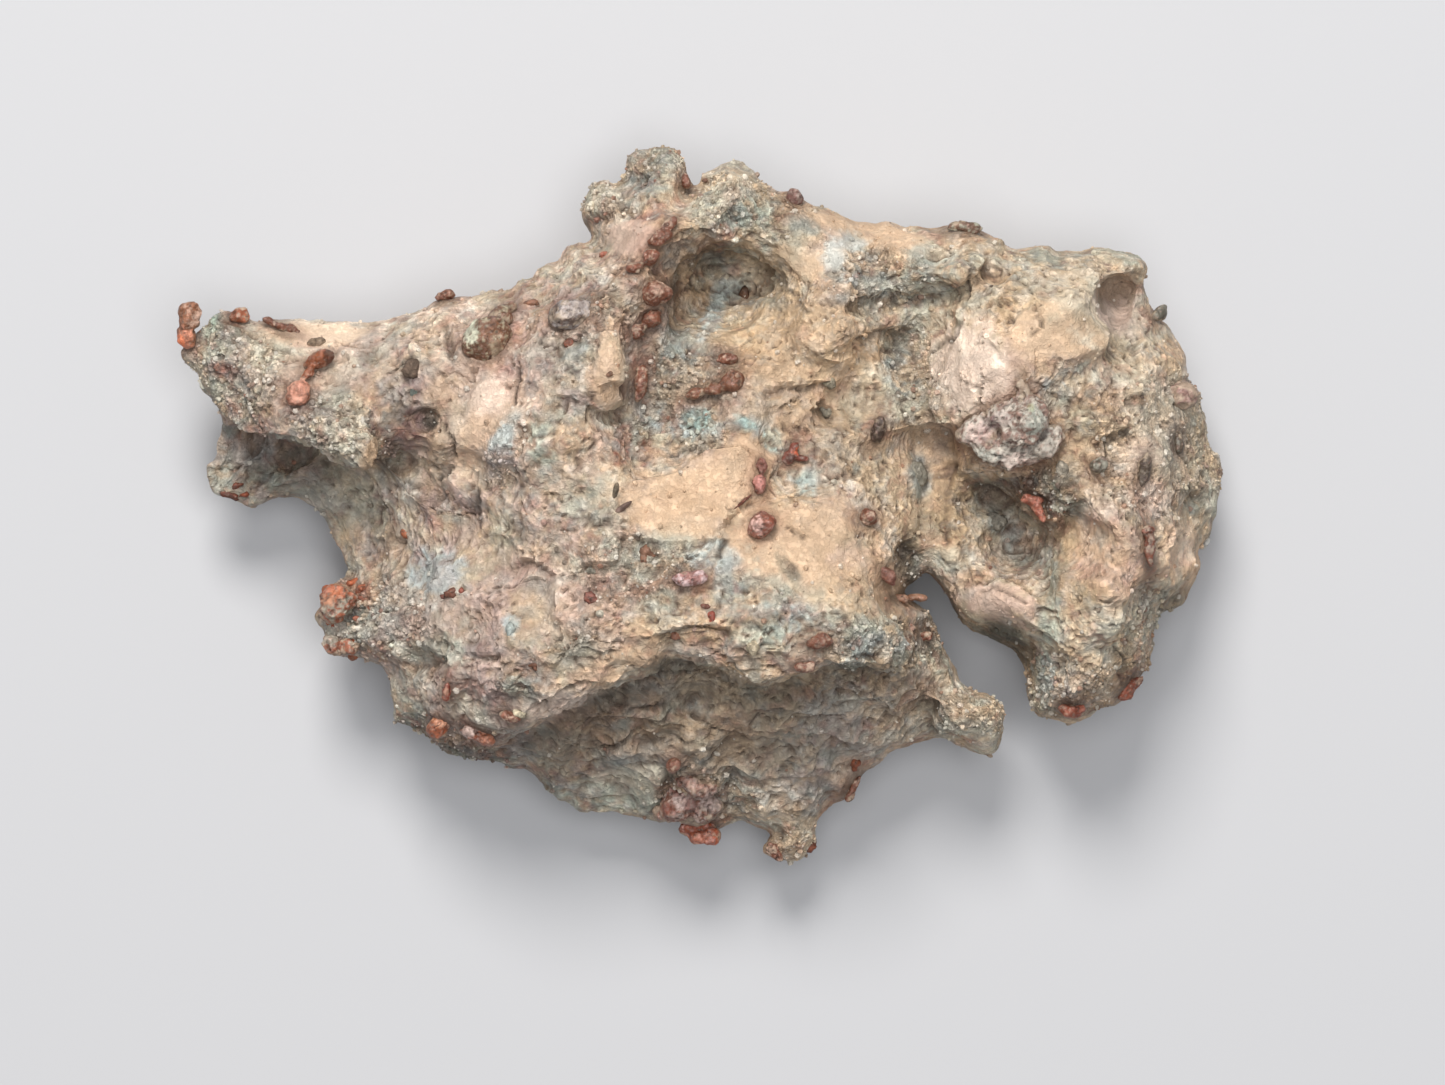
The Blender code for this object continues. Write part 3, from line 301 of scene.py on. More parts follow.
# Small bosses and pits of the visible surface, given the same way
SMALL_BOSSES = [
    (452, 345, 0.7, 2.6, 12, -1.3), (578, 356, 2.2, 1.2, 25, 1.2), (716, 715, 1.4, 1.4, 0, 0.5),
    (735, 715, 2.6, 1.4, 0, 0.9), (620, 722, 2.6, 0.9, 12, 0.9), (622, 757, 3.0, 1.1, 4, 1.0),
    (560, 770, 2.4, 1.6, -40, 0.7), (523, 711, 1.1, 0.9, 0, 1.3), (516, 628, 0.9, 1.7, 0, 1.0),
    (558, 612, 0.9, 0.8, 0, 0.9), (604, 611, 0.9, 0.9, 0, 0.9), (916, 475, 1.3, 2.0, 20, 0.9),
    (828, 385, 0.9, 0.9, 0, 0.7), (828, 414, 1.0, 1.3, 0, -1.0), (790, 400, 0.7, 0.7, 0, 0.6),
    (672, 382, 1.3, 0.9, 10, 0.9), (733, 427, 1.6, 0.5, -5, 0.6), (1090, 415, 2.4, 2.0, 20, 0.9),
    (1132, 402, 1.4, 0.8, 0, -0.8), (1150, 392, 0.9, 0.9, 0, 0.6), (1200, 500, 1.6, 1.2, 0, -0.8),
    (777, 795, 2.6, 1.9, 10, 0.8), (772, 803, 0.7, 0.7, 0, -0.7), (668, 785, 1.0, 2.4, -20, -2.0),
    (732, 787, 1.4, 1.6, 0, -2.0), (690, 790, 2.6, 2.0, 0, -0.6), (790, 706, 1.0, 0.6, -30, 0.7),
    (570, 640, 1.6, 2.2, 0, -0.9), (512, 685, 1.8, 1.6, -30, 0.8), (540, 690, 1.8, 1.2, 20, 0.9),
    (435, 690, 2.4, 2.0, -20, 0.9), (478, 648, 2.0, 0.7, 5, 0.8), (390, 600, 1.6, 1.2, 30, -0.8),
    (288, 468, 2.4, 1.2, 5, -1.4), (1112, 604, 1.0, 0.9, 0, -0.7), (648, 555, 1.6, 1.4, 0, 0.7),
    (650, 575, 2.4, 1.0, 0, -0.9), (708, 600, 1.4, 1.0, 0, 0.8), (770, 242, 1.4, 1.2, 0, 0.8),
    (735, 222, 1.8, 1.8, 0, -1.2), (600, 222, 2.4, 1.0, 15, -1.0), (870, 270, 1.6, 1.6, 0, -0.7),
    (930, 262, 1.4, 2.0, 0, -0.6), (995, 245, 1.2, 1.2, 0, 0.8), (1140, 266, 1.2, 1.2, 0, 0.8),
    (1057, 470, 1.4, 1.6, 0, 0.9), (995, 522, 1.6, 2.0, 30, 0.9), (945, 728, 2.0, 1.6, -30, 0.8),
    (925, 612, 1.8, 1.2, -30, 0.9), (880, 790, 1.0, 1.0, 0, 0.4), (862, 350, 2.4, 1.4, 30, -0.8),
    (770, 370, 1.8, 1.0, 50, 0.6), (855, 310, 2.2, 1.0, 20, -0.8), (1046, 492, 4.2, 3.4, -30, 1.8),
    (1062, 478, 2.2, 1.8, 0, 0.8), (376, 458, 1.3, 2.7, -20, 0.9), (948, 553, 1.6, 1.7, 0, 0.9),
    (908, 552, 1.0, 1.2, 0, -1.0), (917, 566, 1.2, 1.4, 0, -1.0), (903, 574, 0.9, 0.9, 0, -0.8),
    (1114, 306, 3.4, 3.8, 20, -1.6), (505, 450, 1.6, 3.6, -25, 0.9), (575, 440, 2.4, 2.2, 0, 0.9),
    (415, 430, 3.0, 1.4, 0, -0.8), (440, 455, 1.2, 3.0, -8, 0.8), (400, 495, 2.6, 2.0, 0, 0.7),
    (370, 440, 1.2, 3.0, -30, 0.8),
]

# Cracks: half width and depth in millimetres, then the line
CRACKS = [
    (0.5, 0.9, [(726, 536), (721, 548), (717, 560)]), (0.16, 0.7, [(520, 366), (518, 388), (514, 410)]),
    (0.2, 0.8, [(446, 424), (454, 442), (458, 466)]), (0.2, 0.7, [(458, 468), (448, 476), (438, 484)]),
    (0.22, 0.8, [(480, 486), (476, 500), (470, 514)]), (0.16, 0.6, [(400, 470), (412, 478), (424, 482)]),
    (0.22, 0.9, [(628, 372), (628, 396), (630, 408)]), (0.14, 0.5, [(976, 374), (978, 398), (974, 424)]),
    (0.12, 0.4, [(950, 384), (966, 388), (978, 392)]),
    (0.14, 0.4, [(960, 350), (978, 344), (990, 350), (1000, 366)]),
    (0.14, 0.5, [(1002, 268), (1012, 278), (1028, 292)]), (0.2, 0.8, [(974, 268), (964, 284), (962, 306)]),
    (0.14, 0.5, [(1026, 300), (1034, 330), (1022, 340)]),
    (0.2, 0.6, [(956, 320), (948, 336), (932, 352), (922, 360)]),
    (0.16, 0.5, [(786, 524), (794, 532), (804, 540)]), (0.14, 0.5, [(728, 514), (748, 498), (760, 494)]),
    (0.14, 0.5, [(876, 540), (877, 556)]), (0.18, 0.6, [(780, 290), (796, 304), (812, 320)]),
    (0.18, 0.6, [(386, 376), (400, 366), (420, 356)]), (0.18, 0.5, [(408, 350), (418, 342), (430, 334)]),
    (0.16, 0.5, [(560, 366), (566, 352), (576, 346)]), (0.2, 0.6, [(540, 348), (546, 340), (552, 334)]),
    (0.16, 0.5, [(664, 452), (690, 446), (700, 440)]), (0.2, 0.7, [(724, 618), (744, 622), (762, 626)]),
    (0.18, 0.6, [(620, 634), (640, 640), (656, 636)]), (0.14, 0.5, [(1096, 442), (1118, 434), (1130, 428)]),
    (0.18, 0.6, [(1110, 640), (1122, 660), (1120, 690)]),
    (0.16, 0.5, [(970, 590), (990, 586), (1010, 592), (1030, 610)]),
    (0.16, 0.5, [(700, 770), (716, 762), (736, 746)]), (0.18, 0.6, [(690, 708), (708, 724), (728, 738)]),
    (0.16, 0.5, [(600, 700), (640, 706), (676, 700)]),
]

# Copper nuggets: blobs grown together. A blob is its place, half length and half width in
# millimetres, the turn of its length in degrees, and the lift of its middle in millimetres
COPPER = {
    "copper_horn": [(193, 313, 1.9, 1.6, 20, 1.6), (191, 322, 1.7, 1.6, 90, 1.2),
        (188, 336, 1.9, 1.5, 95, 0.8)],
    "copper_arm_crest": [(241, 316, 1.7, 1.2, 30, 0.6)],
    "copper_arm_sliver": [(283, 327, 2.9, 0.9, -22, 0.4)],
    "copper_arm_branch": [(303, 395, 2.2, 1.9, 60, 0.8), (322, 363, 2.5, 1.2, 24, 0.6),
        (311, 377, 1.8, 0.9, 50, 0.4)],
    "copper_rim_bead": [(446, 297, 1.8, 0.9, 5, 0.4)],
    "copper_egg": [(489, 342, 3.8, 3.2, 38, 1.0), (502, 322, 2.0, 1.7, 50, 0.7),
        (508, 311, 1.6, 0.9, 15, 0.5)],
    "copper_coated_egg": [(574, 318, 3.4, 2.3, 20, 0.5)],
    "copper_bean_upper": [(658, 296, 2.3, 1.7, 20, 0.8)],
    "copper_bean_lower": [(652, 323, 1.9, 1.4, 45, 0.8), (640, 335, 1.3, 1.1, 30, 0.3)],
    "copper_bean_top": [(652, 262, 1.4, 1.1, 40, 0.7), (637, 272, 1.5, 1.0, 15, 0.5)],
    "copper_ridge_slug": [(661, 243, 2.0, 1.0, 20, 0.4), (670, 230, 1.7, 0.9, 50, 0.4)],
    "copper_groove_slug": [(642, 386, 2.9, 1.0, 80, 0.3)],
    "copper_cluster": [(731, 383, 2.0, 1.5, 30, 0.8), (714, 391, 1.5, 1.1, 20, 0.6),
        (697, 396, 1.7, 0.9, 22, 0.6)],
    "copper_cluster_cap": [(727, 361, 1.7, 1.0, 10, 0.5)],
    "copper_spindle": [(760, 485, 1.6, 1.1, 80, 0.5), (762, 467, 1.2, 0.8, 100, 0.4)],
    "copper_drop": [(761, 525, 2.2, 1.8, 35, 0.8)],
    "copper_wedge": [(689, 577, 2.7, 1.1, 5, 0.7)],
    "copper_star": [(792, 451, 1.4, 0.8, 60, 0.6), (799, 458, 1.3, 0.7, -20, 0.4),
        (788, 459, 1.1, 0.6, 30, 0.3)],
    "copper_stud": [(866, 518, 1.7, 1.4, 0, 0.3)],
    "copper_dark_bead": [(877, 431, 2.0, 1.1, 70, 0.4)],
    "copper_notch_bead": [(886, 576, 1.6, 0.8, -55, 0.5)],
    "copper_splinter": [(898, 598, 1.6, 0.6, -10, 0.9), (912, 597, 2.0, 0.6, -4, 0.7)],
    "copper_ledge_slug": [(816, 640, 1.8, 1.0, 12, 0.4)],
    "copper_ledge_bead": [(803, 664, 1.6, 0.9, 15, 0.5)],
    "copper_shoulder_bead": [(924, 636, 1.3, 1.0, 0, 0.3)],
    "copper_crown": [(976, 434, 3.4, 2.4, 25, 1.8), (1018, 424, 3.8, 3.4, 80, 2.0),
        (1004, 452, 5.6, 2.4, -5, 2.2), (1040, 444, 3.0, 2.4, 40, 1.6), (1018, 393, 2.8, 1.1, 110, 1.2),
        (998, 416, 3.2, 1.8, 30, 1.8)],
    "copper_crown_foot": [(1028, 500, 1.6, 0.8, -8, 1.5), (1034, 511, 1.9, 0.7, -65, 1.4)],
    "copper_right_rod": [(1142, 545, 3.1, 0.9, 95, 0.3), (1140, 531, 1.3, 0.9, 20, 0.4)],
    "copper_right_slug": [(1137, 471, 2.8, 0.95, 78, 0.4)],
    "copper_right_stud": [(1175, 443, 1.8, 1.0, 95, 0.3)],
    "copper_right_bead": [(1091, 466, 1.4, 1.2, 0, 0.5)],
    "copper_right_patch": [(1179, 395, 2.5, 1.6, -8, -0.5)],
    "copper_side_thorn": [(1160, 313, 1.6, 1.0, 50, 0.6)],
    "copper_toe_right": [(1130, 687, 2.6, 1.3, 42, 0.8)],
    "copper_toe_left": [(1070, 709, 2.0, 1.3, -5, 0.8)],
    "copper_left_shoulder": [(340, 604, 3.2, 2.6, 40, 0.8), (328, 612, 1.9, 1.6, 40, 0.6)],
    "copper_left_lower": [(350, 645, 1.9, 1.2, 0, 0.3), (334, 647, 1.8, 1.3, -40, 0.2)],
    "copper_low_knob": [(441, 725, 2.0, 1.6, 35, 0.9)],
    "copper_low_bar": [(480, 734, 2.8, 1.2, -20, 0.7)],
    "copper_low_bead": [(450, 690, 1.5, 0.8, 80, 0.3)],
    "copper_low_sliver": [(514, 714, 1.7, 0.8, -12, 0.3)],
    "copper_plate": [(680, 800, 3.4, 2.8, 60, -0.9), (704, 804, 3.0, 2.6, 90, -0.9),
        (696, 784, 3.4, 1.3, -15, 0.0), (664, 812, 1.8, 1.3, 0, 0.0), (692, 816, 2.4, 1.6, 0, -0.2)],
    "copper_plate_bead": [(675, 763, 1.0, 0.9, 0, 0.4)],
    "copper_drip": [(691, 829, 1.8, 1.2, 10, 0.3), (704, 829, 2.0, 1.6, 0, 0.4),
        (712, 837, 1.6, 1.2, 60, 0.4), (698, 837, 1.8, 1.0, -10, 0.3)],
    "copper_toe_bottom": [(774, 853, 1.6, 1.2, -30, 0.8)],
    "copper_rim_strip": [(853, 788, 2.4, 0.9, 62, 0.3)],
    "copper_top_stud": [(795, 200, 1.4, 1.1, -30, 0.5)],
    "copper_top_ridge": [(963, 230, 2.9, 0.9, 0, 0.3)],
    "copper_tower_bead": [(686, 184, 1.2, 0.9, 100, 0.5)],
}

# How each nugget has weathered: share of fresh metal, of mineral coat, of dark skin
WEATHERING = {
    "copper_horn": (0.55, 0.25, 0.1), "copper_arm_crest": (0.6, 0.1, 0.1),
    "copper_arm_sliver": (0.1, 0.2, 0.6), "copper_arm_branch": (0.5, 0.15, 0.25),
    "copper_egg": (0.35, 0.15, 0.3), "copper_coated_egg": (0.0, 0.8, 0.4),
    "copper_bean_upper": (0.45, 0.15, 0.3), "copper_cluster": (0.4, 0.05, 0.35),
    "copper_spindle": (0.6, 0.2, 0.2), "copper_drop": (0.5, 0.2, 0.3), "copper_wedge": (0.8, 0.25, 0.1),
    "copper_stud": (0.1, 0.4, 0.4), "copper_dark_bead": (0.0, 0.1, 0.8), "copper_crown": (0.3, 0.62, 0.75),
    "copper_crown_foot": (0.6, 0.3, 0.3), "copper_right_slug": (0.0, 0.2, 0.7),
    "copper_right_rod": (0.3, 0.1, 0.6), "copper_toe_right": (0.6, 0.1, 0.4),
    "copper_toe_left": (0.6, 0.1, 0.4), "copper_right_stud": (0.0, 0.35, 0.7),
    "copper_right_bead": (0.0, 0.5, 0.6), "copper_right_patch": (0.3, 0.6, 0.2),
    "copper_side_thorn": (0.0, 0.8, 0.4), "copper_left_shoulder": (0.55, 0.55, 0.1),
    "copper_left_lower": (0.6, 0.4, 0.2), "copper_low_knob": (0.8, 0.1, 0.0),
    "copper_low_bar": (0.6, 0.25, 0.1), "copper_plate": (0.3, 0.5, 0.35), "copper_drip": (0.65, 0.3, 0.1),
    "copper_toe_bottom": (0.5, 0.4, 0.2), "copper_top_ridge": (0.3, 0.3, 0.45),
    "copper_top_stud": (0.2, 0.3, 0.4), "copper_splinter": (0.55, 0.0, 0.3),
}
COMMON_WEATHERING = (0.4, 0.2, 0.3)

# Colours of the skin and of the mineral coat, where they aren't the common ones
SKINS = {
    "copper_crown": ((134, 108, 96), (192, 182, 168)),
    "copper_coated_egg": ((92, 76, 68), (158, 150, 146)), "copper_egg": ((106, 72, 52), (178, 168, 142)),
    "copper_arm_branch": ((128, 72, 46), (206, 158, 136)), "copper_wedge": ((132, 94, 88), (190, 166, 164)),
    "copper_plate": ((120, 80, 64), (172, 154, 144)), "copper_side_thorn": ((92, 88, 76), (128, 124, 112)),
    "copper_drip": ((146, 74, 48), (206, 158, 146)),
    "copper_left_shoulder": ((148, 84, 58), (156, 152, 136)),
    "copper_left_lower": ((140, 84, 62), (160, 154, 140)), "copper_horn": ((128, 84, 60), (196, 162, 142)),
    "copper_arm_crest": ((140, 80, 54), (170, 150, 130)),
    "copper_low_knob": ((140, 78, 52), (190, 156, 140)), "copper_low_bar": ((134, 78, 56), (186, 160, 144)),
    "copper_drop": ((128, 78, 62), (198, 158, 146)), "copper_cluster": ((116, 74, 54), (168, 140, 118)),
    "copper_crown_foot": ((138, 78, 60), (186, 140, 120)),
    "copper_right_bead": ((86, 78, 66), (146, 142, 128)),
    "copper_right_rod": ((118, 68, 50), (150, 132, 116)),
    "copper_toe_right": ((126, 66, 46), (150, 122, 104)),
    "copper_toe_left": ((120, 62, 44), (150, 122, 104)),
    "copper_top_stud": ((116, 84, 76), (160, 142, 132)),
    "copper_splinter": ((128, 90, 68), (170, 140, 118)),
    "copper_right_patch": ((140, 108, 98), (190, 160, 150)),
    "copper_notch_bead": ((112, 66, 54), (160, 124, 110)),
    "copper_low_bead": ((124, 62, 48), (160, 120, 100)), "copper_star": ((116, 62, 50), (150, 130, 120)),
    "copper_spindle": ((124, 76, 62), (200, 154, 144)),
    "copper_right_slug": ((74, 60, 48), (128, 116, 100)),
    "copper_right_stud": ((84, 70, 56), (128, 124, 112)),
    "copper_top_ridge": ((104, 78, 62), (160, 158, 140)),
    "copper_dark_bead": ((66, 52, 42), (120, 104, 88)),
}
COMMON_SKIN = ((112, 68, 50), (172, 146, 126))
DARK_SKIN = (62, 46, 40)
PIT_COLOUR = (60, 44, 38)
# A painted highlight laid on the crests of each nugget
CREST_HIGHLIGHT = (212, 172, 156)
ROCK_CRUST = (158, 140, 120)

# Nuggets that the rock has grown up to, with no groove round them
GROWN_IN = (
    "copper_left_shoulder", "copper_left_lower", "copper_right_patch", "copper_plate", "copper_toe_bottom",
)

# Patches on nuggets: place and half sizes in pixels, turn, colour and strength
COPPER_PATCHES = {
    "copper_horn": [(186, 341, 10, 12, 0, (206, 134, 106), 0.7), (182, 344, 5, 7, 0, (212, 108, 60), 0.6)],
    "copper_arm_branch": [(303, 394, 16, 16, 0, (206, 148, 126), 0.75),
        (320, 364, 16, 8, 20, (128, 70, 40), 0.8), (335, 360, 6, 12, 0, (70, 42, 32), 0.8)],
    "copper_crown": [(972, 436, 11, 10, 0, (208, 166, 158), 0.7),
        (1028, 424, 10, 18, 0, (166, 176, 164), 0.65), (1024, 411, 4, 5, 0, (168, 174, 124), 0.4),
        (985, 458, 20, 6, -10, (158, 168, 158), 0.6), (1008, 462, 14, 7, 10, (214, 184, 174), 0.6),
        (990, 424, 16, 8, 25, (150, 124, 126), 0.5), (966, 466, 5, 8, 0, (142, 66, 46), 0.8),
        (1030, 466, 10, 5, 0, (126, 56, 42), 0.7), (1040, 440, 8, 14, 0, (128, 126, 118), 0.6)],
    "copper_coated_egg": [(582, 312, 14, 8, 10, (178, 166, 160), 0.6)],
    "copper_egg": [(474, 333, 10, 11, 30, (196, 196, 174), 0.85),
        (500, 350, 12, 6, -40, (150, 132, 108), 0.5)],
    "copper_crown_foot": [(1036, 496, 14, 8, 30, (116, 66, 50), 0.6)],
    "copper_notch_bead": [(884, 574, 8, 8, 0, (112, 76, 62), 0.6)],
    "copper_bean_upper": [(660, 293, 9, 6, 20, (184, 150, 130), 0.6)],
    "copper_plate": [(680, 800, 12, 10, 0, (206, 180, 172), 0.5),
        (706, 802, 9, 8, 0, (190, 168, 160), 0.5), (692, 806, 7, 8, 0, (110, 52, 40), 0.7),
        (668, 808, 9, 6, 0, (128, 64, 48), 0.6), (696, 784, 22, 5, -15, (176, 140, 126), 0.5),
        (676, 790, 8, 5, 0, (120, 62, 48), 0.7)],
    "copper_drip": [(702, 822, 8, 7, 0, (150, 82, 56), 0.5), (700, 838, 14, 6, 0, (196, 132, 108), 0.5)],
    "copper_low_bar": [(467, 730, 10, 6, 0, (184, 164, 154), 0.75),
        (488, 737, 10, 7, 0, (186, 122, 94), 0.6)],
    "copper_low_knob": [(441, 720, 12, 7, 0, (186, 128, 94), 0.6), (432, 732, 8, 6, 0, (112, 68, 48), 0.6)],
    "copper_spindle": [(760, 484, 6, 9, 0, (196, 134, 124), 0.7), (762, 467, 6, 7, 0, (122, 78, 64), 0.6)],
    "copper_star": [(796, 452, 5, 4, 0, (200, 96, 62), 0.8), (790, 460, 6, 4, 0, (70, 50, 44), 0.7)],
    "copper_drop": [(770, 520, 8, 8, 0, (146, 78, 58), 0.5), (758, 527, 9, 7, 0, (206, 170, 158), 0.7)],
    "copper_left_shoulder": [(335, 596, 14, 7, 30, (186, 108, 68), 0.6),
        (352, 612, 8, 6, 0, (156, 160, 144), 0.6)],
}

# Nuggets whose skin is rougher or smoother than most
SKIN_ROUGHNESS = {
    "copper_crown": 2.2, "copper_left_shoulder": 2.0, "copper_left_lower": 2.0, "copper_low_knob": 1.5,
    "copper_low_bar": 1.5, "copper_plate": 2.0, "copper_toe_bottom": 1.8, "copper_toe_left": 1.8,
    "copper_toe_right": 1.8, "copper_right_patch": 1.9, "copper_star": 1.4, "copper_crown_foot": 1.7,
}

# Bits too small for nodes of their own: place and half sizes in pixels, turn, and colour
COPPER_SPECKS = [
    (534, 306, 8, 4, 0, (130, 92, 72)), (572, 347, 5, 4, 0, (128, 80, 62)),
    (745, 298, 6, 9, 0, (110, 78, 58)), (594, 597, 8, 7, 0, (126, 78, 66)),
    (648, 555, 7, 8, 0, (132, 96, 76)), (676, 633, 5, 5, 0, (140, 96, 76)),
    (711, 617, 4, 6, 0, (134, 68, 54)), (706, 605, 6, 3, 0, (130, 86, 72)),
    (407, 535, 4, 6, 0, (150, 88, 58)), (455, 592, 9, 4, 20, (116, 74, 58)),
    (855, 765, 5, 6, 0, (128, 72, 48)), (230, 495, 10, 4, -10, (98, 54, 40)),
    (243, 495, 7, 3, 10, (126, 66, 44)), (538, 663, 6, 5, 0, (122, 84, 66)),
    (812, 846, 6, 6, 0, (136, 76, 52)), (707, 182, 5, 3, 0, (112, 82, 66)),
    (352, 656, 5, 4, 0, (150, 88, 60)), (605, 258, 6, 5, 0, (150, 92, 74)),
    (612, 378, 3, 3, 0, (120, 90, 72)), (741, 504, 12, 1.6, 40, (112, 66, 54)),
    (507, 713, 5, 3, 0, (176, 96, 66)), (322, 596, 4, 3, 30, (160, 88, 60)),
    (345, 588, 6, 3, 20, (156, 84, 58)), (362, 598, 4, 3, 0, (150, 92, 70)),
    (357, 618, 4, 3, 0, (150, 92, 70)), (330, 624, 5, 3, -30, (156, 84, 58)),
    (371, 608, 3, 3, 0, (140, 90, 70)), (352, 583, 8, 4, 20, (164, 90, 58)),
    (362, 590, 6, 4, 30, (156, 92, 66)), (368, 600, 5, 3, 0, (150, 96, 74)),
    (326, 590, 6, 4, 50, (160, 88, 56)), (356, 641, 5, 4, 0, (160, 84, 52)),
    (236, 486, 7, 3, 20, (104, 58, 42)), (465, 590, 4, 4, 0, (134, 74, 58)),
    (447, 596, 4, 3, 0, (120, 70, 56)),
]
PEBBLES = [
    (916, 475, 9, 13, 15, (140, 134, 120)), (828, 385, 6, 6, 0, (150, 140, 120)),
    (826, 412, 7, 7, 0, (140, 132, 116)), (683, 765, 5, 5, 0, (120, 110, 98)),
    (523, 711, 7, 5, 0, (206, 192, 164)), (603, 612, 4, 4, 0, (220, 210, 190)),
    (618, 491, 3, 7, -15, (124, 110, 92)), (623, 510, 13, 3.5, 36, (128, 106, 96)),
    (319, 344, 9, 5, 10, (140, 120, 100)), (415, 371, 8, 12, -20, (112, 94, 80)),
    (418, 394, 4, 8, 0, (116, 122, 114)), (735, 243, 5, 3, 0, (224, 212, 190)),
    (595, 570, 6, 4, 0, (140, 134, 120)), (752, 645, 7, 8, 0, (200, 184, 156)),
    (515, 628, 5, 8, 0, (182, 190, 184)), (603, 278, 5, 4, 0, (226, 212, 192)),
    (1206, 543, 6, 6, 20, (206, 202, 194)), (1057, 470, 7, 8, 0, (166, 156, 140)),
    (995, 522, 9, 10, 20, (132, 126, 114)),
]

# Paints of the rock, as eight-bit display colours. The darkest, (64, 57, 50), is painted shade, laid in
# cracks, pits, hollows and deep places, under ledges and round the nuggets
PAINTS = {
    "peach": (216, 184, 152), "buff": (218, 188, 152), "tan": (178, 148, 118), "ochre": (192, 158, 114),
    "pink": (212, 182, 164), "pale_pink": (248, 224, 204), "mauve": (174, 152, 146),
    "dark_mauve": (112, 86, 80), "cream": (222, 212, 190), "white": (234, 226, 212),
    "grey_green": (178, 176, 160), "pale_green": (198, 204, 186), "pale_blue": (190, 200, 198),
    "slate": (134, 140, 138), "grey": (154, 150, 140), "moss": (114, 112, 98), "brown": (120, 100, 84),
    "rust": (150, 96, 74), "painted_shade": (64, 57, 50), "red": (158, 104, 90), "verdigris": (140, 174, 154),
    "turquoise": (168, 198, 192),
}
GROUND_PAINT = "buff"

